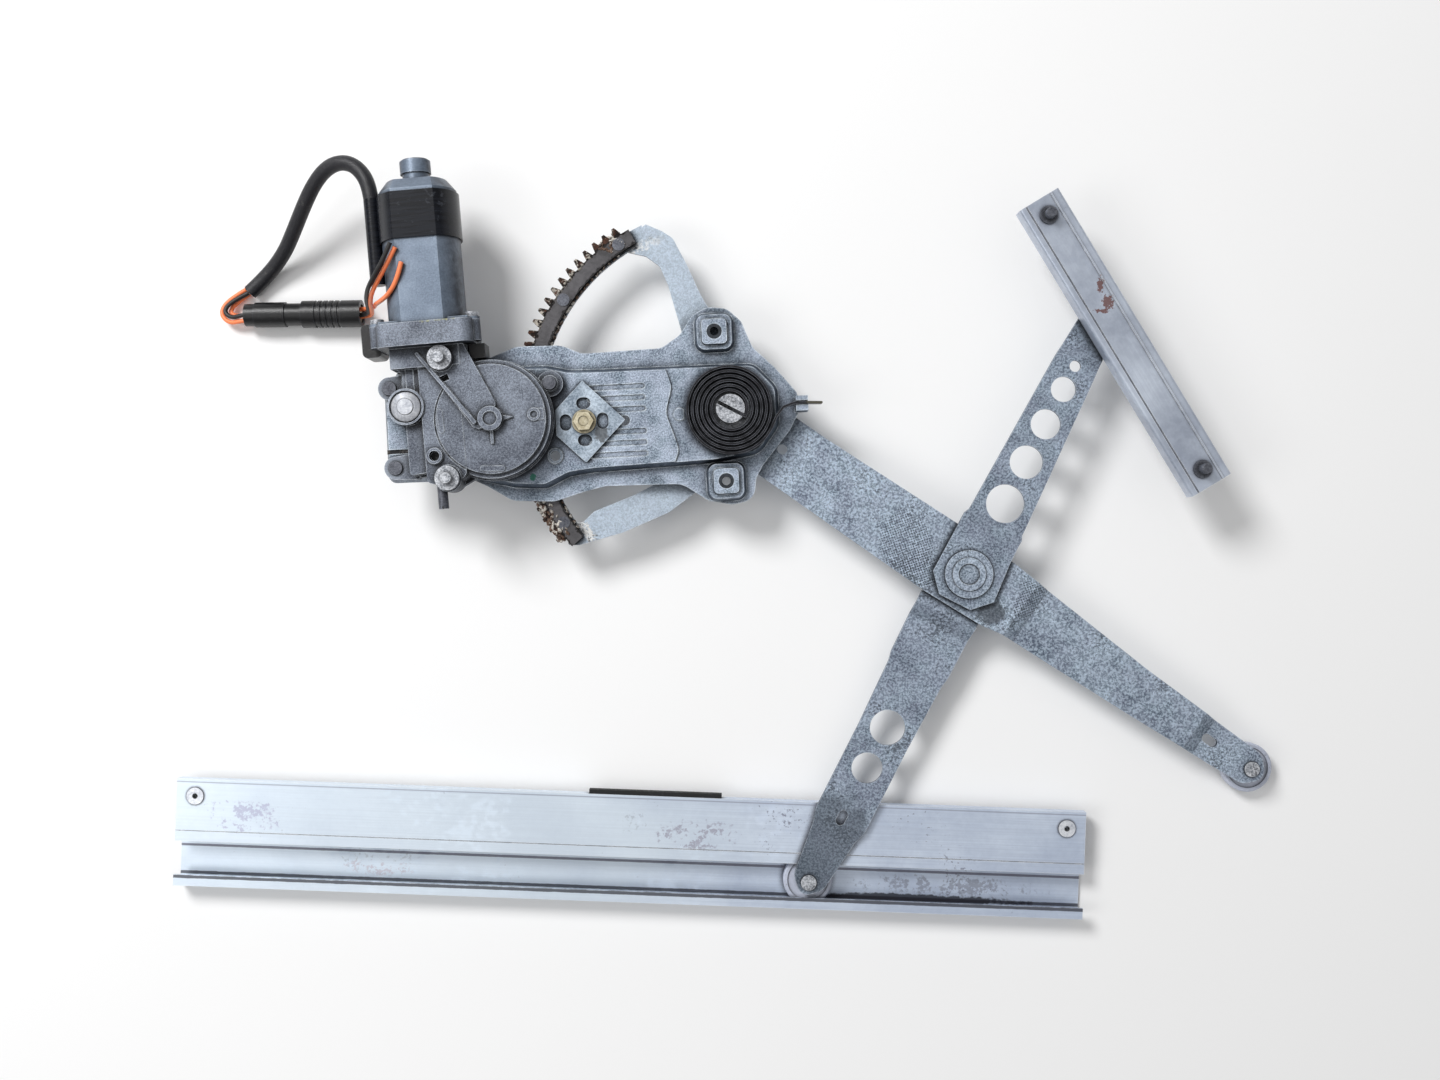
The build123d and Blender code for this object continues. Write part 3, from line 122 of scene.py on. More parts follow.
# %% Clouds and speckle of a zinc coat
zinc_cloud, start, end = effect(
    "zinc_cloud",
    [("Place", ARROW, None), ("Patch Size", NUMBER, 60.0), ("Speckle Size", NUMBER, 900.0),
     ("Speckle Share", NUMBER, 0.5)],
    [("Mask", NUMBER)])
patches = step(zinc_cloud, "ShaderNodeTexNoise", in_3=4.0, in_4=0.6)
patch_range = step(zinc_cloud, "ShaderNodeMapRange", in_1=0.38, in_2=0.62)
speckle = step(zinc_cloud, "ShaderNodeTexNoise", in_3=2.0, in_4=0.7)
speckle_range = step(zinc_cloud, "ShaderNodeMapRange", in_1=0.41, in_2=0.59)
blend_masks = step(zinc_cloud, "ShaderNodeMix", data_type="FLOAT")
zinc_cloud.links.new(start.outputs["Place"], patches.inputs["Vector"])
zinc_cloud.links.new(start.outputs["Place"], speckle.inputs["Vector"])
zinc_cloud.links.new(start.outputs["Patch Size"], patches.inputs["Scale"])
zinc_cloud.links.new(start.outputs["Speckle Size"], speckle.inputs["Scale"])
zinc_cloud.links.new(start.outputs["Speckle Share"], blend_masks.inputs[0])
zinc_cloud.links.new(patches.outputs[0], patch_range.inputs[0])
zinc_cloud.links.new(speckle.outputs[0], speckle_range.inputs[0])
zinc_cloud.links.new(patch_range.outputs[0], blend_masks.inputs[2])
zinc_cloud.links.new(speckle_range.outputs[0], blend_masks.inputs[3])
zinc_cloud.links.new(blend_masks.outputs[0], end.inputs["Mask"])
print("zinc_cloud has", len(zinc_cloud.nodes), "nodes")

# %% [markdown]
# Old grease and dirt lie in flecks that gather in places. A fine noise makes the flecks and a coarse
# one says where they are; both have to be strong at once.

# %% Flecks of dirt that gather in places
flecks, start, end = effect(
    "flecks",
    [("Place", ARROW, None), ("Fleck Size", NUMBER, 500.0), ("Region Size", NUMBER, 25.0),
     ("Amount", NUMBER, 0.5)],
    [("Mask", NUMBER)])
fine = step(flecks, "ShaderNodeTexNoise", in_3=3.0, in_4=0.65)
region = step(flecks, "ShaderNodeTexNoise", in_3=2.0, in_4=0.5)
together = step(flecks, "ShaderNodeMath", operation="MULTIPLY")
threshold = step(flecks, "ShaderNodeMath", operation="SUBTRACT", in_0=0.52)
share = step(flecks, "ShaderNodeMath", operation="MULTIPLY", in_1=0.34)
sharpen = step(flecks, "ShaderNodeMapRange", in_1=0.0, in_2=0.05)
above = step(flecks, "ShaderNodeMath", operation="SUBTRACT")
flecks.links.new(start.outputs["Place"], fine.inputs["Vector"])
flecks.links.new(start.outputs["Place"], region.inputs["Vector"])
flecks.links.new(start.outputs["Fleck Size"], fine.inputs["Scale"])
flecks.links.new(start.outputs["Region Size"], region.inputs["Scale"])
flecks.links.new(fine.outputs[0], together.inputs[0])
flecks.links.new(region.outputs[0], together.inputs[1])
flecks.links.new(start.outputs["Amount"], share.inputs[0])
flecks.links.new(share.outputs[0], threshold.inputs[1])
flecks.links.new(together.outputs[0], above.inputs[0])
flecks.links.new(threshold.outputs[0], above.inputs[1])
flecks.links.new(above.outputs[0], sharpen.inputs[0])
flecks.links.new(sharpen.outputs[0], end.inputs["Mask"])
print("flecks has", len(flecks.nodes), "nodes")

# %% [markdown]
# A drawn or extruded surface has fine lines in one direction. Stretching the coordinates a lot before
# a noise turns its dots into lines; turning them first sets the direction.

# %% Lines along one direction
drawn_lines, start, end = effect(
    "drawn_lines",
    [("Place", ARROW, None), ("Turn", ARROW, (0.0, 0.0, 0.0)), ("Stretch", ARROW, (20.0, 900.0, 900.0)),
     ("Sharpness", NUMBER, 0.1)],
    [("Mask", NUMBER)])
turned = step(drawn_lines, "ShaderNodeMapping")
stretched = step(drawn_lines, "ShaderNodeVectorMath", operation="MULTIPLY")
lines = step(drawn_lines, "ShaderNodeTexNoise", in_2=1.0, in_3=3.0, in_4=0.6)
low = step(drawn_lines, "ShaderNodeMath", operation="SUBTRACT", in_0=0.5)
high = step(drawn_lines, "ShaderNodeMath", operation="ADD", in_0=0.5)
cut = step(drawn_lines, "ShaderNodeMapRange")
drawn_lines.links.new(start.outputs["Place"], turned.inputs["Vector"])
drawn_lines.links.new(start.outputs["Turn"], turned.inputs["Rotation"])
drawn_lines.links.new(turned.outputs[0], stretched.inputs[0])
drawn_lines.links.new(start.outputs["Stretch"], stretched.inputs[1])
drawn_lines.links.new(stretched.outputs[0], lines.inputs["Vector"])
drawn_lines.links.new(start.outputs["Sharpness"], low.inputs[1])
drawn_lines.links.new(start.outputs["Sharpness"], high.inputs[1])
drawn_lines.links.new(lines.outputs[0], cut.inputs[0])
drawn_lines.links.new(low.outputs[0], cut.inputs[1])
drawn_lines.links.new(high.outputs[0], cut.inputs[2])
drawn_lines.links.new(cut.outputs[0], end.inputs["Mask"])
print("drawn_lines has", len(drawn_lines.nodes), "nodes")

# %% [markdown]
# A spot of paint, a rust patch or a smear sits at one place. The group measures how far a point is
# from the middle, divides by the size of the mark, and lets a noise push its edge about.

# %% A mark at one place with a ragged edge
mark, start, end = effect(
    "mark",
    [("Place", ARROW, None), ("Middle", ARROW, (0.0, 0.0, 0.0)), ("Half Size", ARROW, (0.01, 0.01, 0.02)),
     ("Raggedness", NUMBER, 0.3), ("Grain Size", NUMBER, 400.0)],
    [("Mask", NUMBER)])
moved = step(mark, "ShaderNodeVectorMath", operation="SUBTRACT")
sized = step(mark, "ShaderNodeVectorMath", operation="DIVIDE")
distance = step(mark, "ShaderNodeVectorMath", operation="LENGTH")
grain = step(mark, "ShaderNodeTexNoise", in_3=3.0, in_4=0.7)
pushed = step(mark, "ShaderNodeMath", operation="SUBTRACT", in_1=0.5)
scaled = step(mark, "ShaderNodeMath", operation="MULTIPLY")
doubled = step(mark, "ShaderNodeMath", operation="MULTIPLY", in_1=4.0)
edge = step(mark, "ShaderNodeMath", operation="ADD")
fade = step(mark, "ShaderNodeMapRange", in_1=1.1, in_2=0.85)
mark.links.new(start.outputs["Place"], moved.inputs[0])
mark.links.new(start.outputs["Middle"], moved.inputs[1])
mark.links.new(moved.outputs[0], sized.inputs[0])
mark.links.new(start.outputs["Half Size"], sized.inputs[1])
mark.links.new(sized.outputs[0], distance.inputs[0])
mark.links.new(start.outputs["Place"], grain.inputs["Vector"])
mark.links.new(start.outputs["Grain Size"], grain.inputs["Scale"])
mark.links.new(grain.outputs[0], pushed.inputs[0])
mark.links.new(pushed.outputs[0], scaled.inputs[0])
mark.links.new(start.outputs["Raggedness"], scaled.inputs[1])
mark.links.new(scaled.outputs[0], doubled.inputs[0])
mark.links.new(distance.outputs["Value"], edge.inputs[0])
mark.links.new(doubled.outputs[0], edge.inputs[1])
mark.links.new(edge.outputs[0], fade.inputs[0])
mark.links.new(fade.outputs[0], end.inputs["Mask"])
print("mark has", len(mark.nodes), "nodes")

# %% [markdown]
# Edges that stick out are painted bright, partly as wear and partly as a painted highlight, and they
# are found by comparing the true normal with one that is smoothed over a small radius: the two differ
# only near an edge. A soft noise leaves some stretches of edge dull.

# %% Edges painted bright: wear and painted highlight
edge_wear_and_highlight, start, end = effect(
    "edge_wear_and_highlight",
    [("Place", ARROW, None), ("Breakup", NUMBER, 0.3), ("Reach", NUMBER, 0.0009)],
    [("Mask", NUMBER)])
smoothed = step(edge_wear_and_highlight, "ShaderNodeBevel", samples=4)
true_normal = step(edge_wear_and_highlight, "ShaderNodeNewGeometry")
alike = step(edge_wear_and_highlight, "ShaderNodeVectorMath", operation="DOT_PRODUCT")
differ = step(edge_wear_and_highlight, "ShaderNodeMapRange", in_1=0.985, in_2=0.86)
patchy = step(edge_wear_and_highlight, "ShaderNodeTexNoise", in_2=180.0, in_3=3.0)
keep = step(edge_wear_and_highlight, "ShaderNodeMapRange", in_1=0.35, in_2=0.6)
weaker = step(edge_wear_and_highlight, "ShaderNodeMath", operation="MULTIPLY")
edge_wear_and_highlight.links.new(start.outputs["Reach"], smoothed.inputs["Radius"])
edge_wear_and_highlight.links.new(smoothed.outputs[0], alike.inputs[0])
edge_wear_and_highlight.links.new(true_normal.outputs["Normal"], alike.inputs[1])
edge_wear_and_highlight.links.new(alike.outputs["Value"], differ.inputs[0])
edge_wear_and_highlight.links.new(start.outputs["Place"], patchy.inputs["Vector"])
edge_wear_and_highlight.links.new(patchy.outputs[0], keep.inputs[0])
edge_wear_and_highlight.links.new(start.outputs["Breakup"], keep.inputs[1])
edge_wear_and_highlight.links.new(differ.outputs[0], weaker.inputs[0])
edge_wear_and_highlight.links.new(keep.outputs[0], weaker.inputs[1])
edge_wear_and_highlight.links.new(weaker.outputs[0], end.inputs["Mask"])
print("edge_wear_and_highlight has", len(edge_wear_and_highlight.nodes), "nodes")

# %% [markdown]
# Steep walls of a pressing or casting are painted darker, as painted shade. The mask is high where
# the surface stands upright and low where it lies flat.

# %% Painted shade on steep walls
painted_wall_shade, start, end = effect(
    "painted_wall_shade",
    [("Place", ARROW, None), ("Flat Above", NUMBER, 0.93), ("Steep Below", NUMBER, 0.5)],
    [("Mask", NUMBER)])
facing = step(painted_wall_shade, "ShaderNodeTexCoord")
facing_split = step(painted_wall_shade, "ShaderNodeSeparateXYZ")
upright = step(painted_wall_shade, "ShaderNodeMath", operation="ABSOLUTE")
wall_range = step(painted_wall_shade, "ShaderNodeMapRange")
wall_grain = step(painted_wall_shade, "ShaderNodeTexNoise", in_2=140.0, in_3=4.0, in_4=0.6)
wall_patchy = step(painted_wall_shade, "ShaderNodeMapRange", in_1=0.3, in_2=0.6, in_3=0.5, in_4=1.0)
wall_mask = step(painted_wall_shade, "ShaderNodeMath", operation="MULTIPLY")
painted_wall_shade.links.new(facing.outputs["Normal"], facing_split.inputs[0])
painted_wall_shade.links.new(facing_split.outputs["Z"], upright.inputs[0])
painted_wall_shade.links.new(upright.outputs[0], wall_range.inputs[0])
painted_wall_shade.links.new(start.outputs["Flat Above"], wall_range.inputs[1])
painted_wall_shade.links.new(start.outputs["Steep Below"], wall_range.inputs[2])
painted_wall_shade.links.new(start.outputs["Place"], wall_grain.inputs["Vector"])
painted_wall_shade.links.new(wall_grain.outputs[0], wall_patchy.inputs[0])
painted_wall_shade.links.new(wall_range.outputs[0], wall_mask.inputs[0])
painted_wall_shade.links.new(wall_patchy.outputs[0], wall_mask.inputs[1])
painted_wall_shade.links.new(wall_mask.outputs[0], end.inputs["Mask"])
print("painted_wall_shade has", len(painted_wall_shade.nodes), "nodes")

# %% [markdown]
# The toothed strip is worn in rings about the pivot: rust at the teeth, a smooth band, and lines of
# dried grease along both. A ring is the set of points at nearly one distance from an axis, and a
# noise pushes that distance to make the ring's edges ragged.

# %% A ring round an upright axis
arc_band, start, end = effect(
    "arc_band",
    [("Place", ARROW, None), ("Axis", ARROW, (0.0, 0.0, 0.0)), ("Radius", NUMBER, 0.1),
     ("Half Width", NUMBER, 0.001), ("Raggedness", NUMBER, 0.001), ("Grain Size", NUMBER, 300.0)],
    [("Mask", NUMBER)])
off_axis = step(arc_band, "ShaderNodeVectorMath", operation="SUBTRACT")
level = step(arc_band, "ShaderNodeVectorMath", operation="MULTIPLY", in_1=(1.0, 1.0, 0.0))
reach = step(arc_band, "ShaderNodeVectorMath", operation="LENGTH")
ring_grain = step(arc_band, "ShaderNodeTexNoise", in_3=3.0, in_4=0.7)
ring_push = step(arc_band, "ShaderNodeMath", operation="SUBTRACT", in_1=0.5)
ring_shift = step(arc_band, "ShaderNodeMath", operation="MULTIPLY")
ring_twice = step(arc_band, "ShaderNodeMath", operation="MULTIPLY", in_1=4.0)
ragged = step(arc_band, "ShaderNodeMath", operation="ADD")
from_ring = step(arc_band, "ShaderNodeMath", operation="SUBTRACT")
away = step(arc_band, "ShaderNodeMath", operation="ABSOLUTE")
in_widths = step(arc_band, "ShaderNodeMath", operation="DIVIDE")
ring_fade = step(arc_band, "ShaderNodeMapRange", in_1=1.15, in_2=0.85)
arc_band.links.new(start.outputs["Place"], off_axis.inputs[0])
arc_band.links.new(start.outputs["Axis"], off_axis.inputs[1])
arc_band.links.new(off_axis.outputs[0], level.inputs[0])
arc_band.links.new(level.outputs[0], reach.inputs[0])
arc_band.links.new(start.outputs["Place"], ring_grain.inputs["Vector"])
arc_band.links.new(start.outputs["Grain Size"], ring_grain.inputs["Scale"])
arc_band.links.new(ring_grain.outputs[0], ring_push.inputs[0])
arc_band.links.new(ring_push.outputs[0], ring_shift.inputs[0])
arc_band.links.new(start.outputs["Raggedness"], ring_shift.inputs[1])
arc_band.links.new(ring_shift.outputs[0], ring_twice.inputs[0])
arc_band.links.new(reach.outputs["Value"], ragged.inputs[0])
arc_band.links.new(ring_twice.outputs[0], ragged.inputs[1])
arc_band.links.new(ragged.outputs[0], from_ring.inputs[0])
arc_band.links.new(start.outputs["Radius"], from_ring.inputs[1])
arc_band.links.new(from_ring.outputs[0], away.inputs[0])
arc_band.links.new(away.outputs[0], in_widths.inputs[0])
arc_band.links.new(start.outputs["Half Width"], in_widths.inputs[1])
arc_band.links.new(in_widths.outputs[0], ring_fade.inputs[0])
arc_band.links.new(ring_fade.outputs[0], end.inputs["Mask"])
print("arc_band has", len(arc_band.nodes), "nodes")

# %% [markdown]
# Near its middle the lift arm carries the print of the press tool: a close grid of small pits. Two
# sets of waves cross at a right angle, and where both are low there is a pit.

# %% A grid of small pits
pit_grid, start, end = effect(
    "pit_grid",
    [("Place", ARROW, None), ("Turn", ARROW, (0.0, 0.0, 0.0)), ("Wave Size", NUMBER, 200.0)],
    [("Mask", NUMBER)])
grid_turn = step(pit_grid, "ShaderNodeMapping")
along = step(pit_grid, "ShaderNodeTexWave", bands_direction="X", in_2=0.6, in_3=1.0)
across = step(pit_grid, "ShaderNodeTexWave", bands_direction="Y", in_2=0.6, in_3=1.0)
both = step(pit_grid, "ShaderNodeMath", operation="MULTIPLY")
pits = step(pit_grid, "ShaderNodeMapRange", in_1=0.2, in_2=0.5)
pit_grid.links.new(start.outputs["Place"], grid_turn.inputs["Vector"])
pit_grid.links.new(start.outputs["Turn"], grid_turn.inputs["Rotation"])
for waves, slot in ((along, 0), (across, 1)):
    pit_grid.links.new(grid_turn.outputs[0], waves.inputs["Vector"])
    pit_grid.links.new(start.outputs["Wave Size"], waves.inputs["Scale"])
    pit_grid.links.new(waves.outputs["Fac"], both.inputs[slot])
pit_grid.links.new(both.outputs[0], pits.inputs[0])
pit_grid.links.new(pits.outputs[0], end.inputs["Mask"])
print("pit_grid has", len(pit_grid.nodes), "nodes")

# %% [markdown]
# A finish is put together the way a painter works: a ground colour, then layers, each with its mask.
# The small class below keeps the material's tree, the surface's coordinates and the colour so far,
# so that each layer is one line. Bumps are added in the same way, and roughness has its own layers.

# %% A material built layer by layer
class Finish:
    def __init__(self, name, colour, metallic=0.0, roughness=0.5):
        self.material = bpy.data.materials.new(name)
        self.material.use_nodes = True
        self.tree = self.material.node_tree
        self.shader = self.tree.nodes["Principled BSDF"]
        self.shader.inputs["Base Color"].default_value = colour
        self.shader.inputs["Metallic"].default_value = metallic
        self.shader.inputs["Roughness"].default_value = roughness
        self.place = step(self.tree, "ShaderNodeTexCoord").outputs["Object"]
        self.colour = colour
        self.rough = roughness
        self.bump = None

    def group(self, effect_group, **values):
        """The mask of an effect, with its inputs given by name."""
        node = step(self.tree, "ShaderNodeGroup", node_tree=effect_group)
        self.tree.links.new(self.place, node.inputs["Place"])
        for label, value in values.items():
            node.inputs[label.replace("_", " ")].default_value = value
        return node.outputs["Mask"]

    def corners(self, distance):
        """Painted shade where a surface is hemmed in: 1 in the deepest nooks, 0 in the open."""
        open_air = step(self.tree, "ShaderNodeAmbientOcclusion", samples=6)
        open_air.inputs["Distance"].default_value = distance
        hidden = step(self.tree, "ShaderNodeMapRange", in_1=0.93, in_2=0.55)
        self.tree.links.new(open_air.outputs["AO"], hidden.inputs[0])
        return hidden.outputs[0]

    def where(self, first, second):
        """A mask that is high only where two masks are."""
        product = step(self.tree, "ShaderNodeMath", operation="MULTIPLY")
        self.tree.links.new(first, product.inputs[0])
        self.tree.links.new(second, product.inputs[1])
        return product.outputs[0]

    def layer(self, mask, colour, strength=1.0):
        """The colour so far, covered with another where the mask is high."""
        mix = step(self.tree, "ShaderNodeMix", data_type="RGBA")
        weight = step(self.tree, "ShaderNodeMath", operation="MULTIPLY", in_1=strength)
        self.tree.links.new(mask, weight.inputs[0])
        self.tree.links.new(weight.outputs[0], mix.inputs[0])
        if isinstance(self.colour, tuple):
            mix.inputs[6].default_value = self.colour
        else:
            self.tree.links.new(self.colour, mix.inputs[6])
        mix.inputs[7].default_value = colour
        self.colour = mix.outputs[2]
        self.tree.links.new(self.colour, self.shader.inputs["Base Color"])
        return self

    def roughen(self, mask, value, strength=1.0):
        mix = step(self.tree, "ShaderNodeMix", data_type="FLOAT")
        weight = step(self.tree, "ShaderNodeMath", operation="MULTIPLY", in_1=strength)
        self.tree.links.new(mask, weight.inputs[0])
        self.tree.links.new(weight.outputs[0], mix.inputs[0])
        if isinstance(self.rough, float):
            mix.inputs[2].default_value = self.rough
        else:
            self.tree.links.new(self.rough, mix.inputs[2])
        mix.inputs[3].default_value = value
        self.rough = mix.outputs[0]
        self.tree.links.new(self.rough, self.shader.inputs["Roughness"])
        return self

    def raise_by(self, mask, height, strength=0.5):
        """Height in metres where the mask is high, seen as a bump."""
        bump = step(self.tree, "ShaderNodeBump")
        bump.inputs["Strength"].default_value = strength
        bump.inputs["Distance"].default_value = height
        self.tree.links.new(mask, bump.inputs["Height"])
        if self.bump is not None:
            self.tree.links.new(self.bump, bump.inputs["Normal"])
        self.bump = bump.outputs["Normal"]
        self.tree.links.new(self.bump, self.shader.inputs["Normal"])
        return self


def coat(finish, *names):
    """Gives the named nodes of the frame this finish."""
    for name in names:
        mesh = nodes[name].data
        mesh.materials.clear()
        mesh.materials.append(finish.material)
    print(finish.material.name, "on", len(names), "nodes")


def middle_of(name):
    """The middle of a node's box."""
    low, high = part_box(name)
    return tuple((a + b) / 2 for a, b in zip(low, high))


# %% [markdown]
# The base plate is pressed from zinc-plated sheet. After years in a door it is a blue-grey with pale
# cloudy patches and a faint lavender bloom. Its steep walls and corners are painted nearly black as
# shade, its ridges are painted bright as wear and as a painted highlight, and two dots of green paint
# mark it as tested.

# %% Zinc sheet of the base plate
plate_zinc = Finish("plate_zinc", paint(78, 92, 107), metallic=0.4, roughness=0.42)
plate_zinc.layer(plate_zinc.group(zinc_cloud, Patch_Size=45.0, Speckle_Size=1100.0, Speckle_Share=0.5),
                 paint(196, 212, 228))
plate_zinc.layer(plate_zinc.group(zinc_cloud, Patch_Size=90.0, Speckle_Size=400.0, Speckle_Share=0.2),
                 paint(166, 160, 186), 0.22)
plate_zinc.layer(plate_zinc.group(flecks, Fleck_Size=1200.0, Region_Size=40.0, Amount=0.56),
                 paint(48, 55, 65), 0.6)
# Painted shade: the steep walls darker and the corners nearly black; the ridges painted bright, partly as
# wear and partly as a painted highlight.
plate_zinc.layer(plate_zinc.group(painted_wall_shade), paint(50, 62, 78), 0.8)
plate_zinc.layer(plate_zinc.corners(0.016), paint(36, 43, 53), 0.6)
plate_zinc.layer(plate_zinc.corners(0.005), paint(18, 22, 30), 0.95)
plate_zinc.layer(plate_zinc.group(edge_wear_and_highlight, Breakup=0.3, Reach=0.0012), paint(230, 240, 248), 0.9)
plate_zinc.roughen(plate_zinc.group(flecks, Fleck_Size=300.0, Region_Size=18.0, Amount=0.6), 0.7)
plate_zinc.raise_by(plate_zinc.group(zinc_cloud, Patch_Size=60.0, Speckle_Size=900.0, Speckle_Share=0.8),
                    0.0002, 0.4)
green_dots = [((-0.1072, -0.0281, 0.0), (0.0026, 0.0018, 0.005)),
              ((-0.1006, -0.0876, 0.0), (0.0018, 0.0021, 0.005))]
for middle, size in green_dots:
    plate_zinc.layer(plate_zinc.group(mark, Middle=middle, Half_Size=size, Raggedness=0.25),
                     paint(16, 98, 78), 0.9)
coat(plate_zinc, "base_plate", "gearbox_cover")

# %% The clamp plate and its smudge
clamp_zinc = Finish("clamp_zinc", paint(116, 130, 145), metallic=0.4, roughness=0.4)
clamp_zinc.layer(clamp_zinc.group(zinc_cloud, Patch_Size=60.0, Speckle_Size=800.0, Speckle_Share=0.45),
                 paint(204, 218, 232))
clamp_zinc.layer(clamp_zinc.group(mark, Middle=(-0.0623, -0.0605, 0.002), Half_Size=(0.0042, 0.0060, 0.004),
                                  Raggedness=0.35), paint(84, 84, 84), 0.75)
# Painted shade on the steep walls and in the corners; the edges painted bright, partly as wear and partly as
# a painted highlight.
clamp_zinc.layer(clamp_zinc.group(painted_wall_shade), paint(48, 58, 68), 0.8)
clamp_zinc.layer(clamp_zinc.corners(0.004), paint(22, 26, 32), 0.85)
clamp_zinc.layer(clamp_zinc.group(edge_wear_and_highlight, Breakup=0.3, Reach=0.0006), paint(232, 240, 246), 0.7)
coat(clamp_zinc, "diamond_plate")

# %% [markdown]
# The lift arm and both halves of the equaliser are cut from plated sheet that is bluer and more
# speckled than the base plate, and the centre rivet is a little paler. Near the rivet the tool has
# left a grid of pits, the sector at the other end is clean and pale, and dry grease and dust lie along
# the strip's inner edge. Marks on the lift arm are placed at the height of its upper face.

# %% Zinc sheet of the arms
def arm_finish(name, ground, bloom):
    arm = Finish(name, ground, metallic=0.4, roughness=0.45)
    arm.layer(arm.group(zinc_cloud, Patch_Size=40.0, Speckle_Size=780.0, Speckle_Share=0.62), bloom)
    arm.layer(arm.group(zinc_cloud, Patch_Size=70.0, Speckle_Size=300.0, Speckle_Share=0.2),
              paint(150, 146, 172), 0.2)
    arm.layer(arm.group(flecks, Fleck_Size=700.0, Region_Size=40.0, Amount=0.58), paint(52, 58, 68), 0.7)
    return arm


def arm_edges(arm):
    # Painted shade on the steep walls, in the corners and under the base plate; the edges painted bright,
    # partly as wear and partly as a painted highlight.
    arm.layer(arm.group(painted_wall_shade), paint(70, 82, 96), 0.7)
    arm.layer(arm.corners(0.014), paint(22, 25, 31), 0.75)
    arm.layer(arm.corners(0.004), paint(18, 21, 28), 0.93)
    arm.layer(arm.group(edge_wear_and_highlight, Breakup=0.3, Reach=0.0007), paint(224, 232, 240), 0.75)
    arm.roughen(arm.group(flecks, Fleck_Size=260.0, Region_Size=20.0, Amount=0.6), 0.65)
    arm.raise_by(arm.group(zinc_cloud, Patch_Size=90.0, Speckle_Size=1100.0, Speckle_Share=0.85),
                 0.0002, 0.45)
    print(arm.material.name, "has", len(arm.tree.nodes), "nodes")


pivot = middle_of("pivot_pin")
lift_direction = atan2(middle_of("centre_rivet")[1] - pivot[1], middle_of("centre_rivet")[0] - pivot[0])
strip_inner = 0.1120
arm_top = -0.0145
pit_lean = 0.2

lift_zinc = arm_finish("lift_zinc", paint(80, 94, 110), paint(202, 219, 236))
pit_places = [((0.1160, -0.1180, arm_top), (0.016, 0.021, 0.004)),
              ((0.1260, -0.1330, arm_top), (0.012, 0.012, 0.004)),
              ((0.1935, -0.1500, arm_top), (0.012, 0.015, 0.004))]
for middle, size in pit_places:
    grid = lift_zinc.group(pit_grid, Turn=(0.0, 0.0, lift_direction + pit_lean), Wave_Size=215.0)
    pressed = lift_zinc.group(mark, Middle=middle, Half_Size=size, Raggedness=0.3, Grain_Size=120.0)
    lift_zinc.layer(lift_zinc.where(grid, pressed), paint(38, 42, 52), 0.75)
lift_zinc.layer(lift_zinc.group(mark, Middle=(-0.0500, -0.0300, arm_top), Half_Size=(0.0850, 0.1300, 0.02),
                                Raggedness=0.05, Grain_Size=60.0), paint(186, 198, 210), 0.6)
sector_side = lift_zinc.group(mark, Middle=(-0.0850, -0.0350, arm_top), Half_Size=(0.0750, 0.1150, 0.03),
                              Raggedness=0.0)
inner_edge = lift_zinc.where(sector_side, lift_zinc.group(
    arc_band, Axis=pivot, Radius=strip_inner - 0.0026, Half_Width=0.0030, Raggedness=0.003))
lift_zinc.layer(lift_zinc.where(inner_edge, lift_zinc.group(
    flecks, Fleck_Size=450.0, Region_Size=70.0, Amount=0.9)), paint(58, 54, 52), 0.85)
lift_zinc.layer(lift_zinc.where(inner_edge, lift_zinc.group(
    flecks, Fleck_Size=620.0, Region_Size=110.0, Amount=0.82)), paint(228, 228, 226), 0.9)
lift_zinc.layer(lift_zinc.group(mark, Middle=(0.1680, -0.1560, arm_top), Half_Size=(0.009, 0.007, 0.004),
                                Raggedness=0.4), paint(54, 58, 62), 0.7)
lift_zinc.layer(lift_zinc.group(mark, Middle=(0.3280, -0.2370, arm_top), Half_Size=(0.0055, 0.0100, 0.004),
                                Raggedness=0.5), paint(56, 56, 58), 0.75)
arm_edges(lift_zinc)
coat(lift_zinc, "lift_arm")

equaliser_zinc = arm_finish("equaliser_zinc", paint(76, 89, 104), paint(186, 202, 219))
equaliser_zinc.layer(equaliser_zinc.group(mark, Middle=(0.0790, -0.2980, -0.02),
                                          Half_Size=(0.026, 0.034, 0.01), Raggedness=0.2, Grain_Size=80.0),
                     paint(66, 74, 84), 0.6)
arm_edges(equaliser_zinc)
coat(equaliser_zinc, "equaliser_upper_arm", "equaliser_lower_arm", "centre_washers")

rivet_zinc = arm_finish("rivet_zinc", paint(98, 112, 127), paint(206, 221, 238))
arm_edges(rivet_zinc)
coat(rivet_zinc, "centre_rivet")

# %% [markdown]
# The toothed strip carries the pinion's grease. Its teeth are rusty under clumps of grease that has
# dried white, a smooth band of dark steel runs behind them, and the grease has drawn a black line
# along each side of that band.

# %% Greasy, rusty teeth
tooth_steel = Finish("tooth_steel", paint(66, 65, 67), metallic=0.45, roughness=0.42)
tooth_steel.layer(tooth_steel.group(zinc_cloud, Patch_Size=60.0, Speckle_Size=500.0, Speckle_Share=0.4),
                  paint(98, 96, 99), 0.8)
tooth_root = strip_inner + 0.0089
toothed = tooth_steel.group(arc_band, Axis=pivot, Radius=tooth_root + 0.0055, Half_Width=0.0058,
                            Raggedness=0.0012)
tooth_steel.layer(toothed, paint(56, 38, 31))
tooth_steel.layer(tooth_steel.where(toothed, tooth_steel.group(
    zinc_cloud, Patch_Size=120.0, Speckle_Size=420.0, Speckle_Share=0.5)), paint(108, 70, 52), 0.65)
for radius, half_width in ((tooth_root, 0.0008), (strip_inner + 0.0002, 0.0006)):
    tooth_steel.layer(tooth_steel.group(arc_band, Axis=pivot, Radius=radius, Half_Width=half_width,
                                        Raggedness=0.0012), paint(22, 20, 20), 0.95)
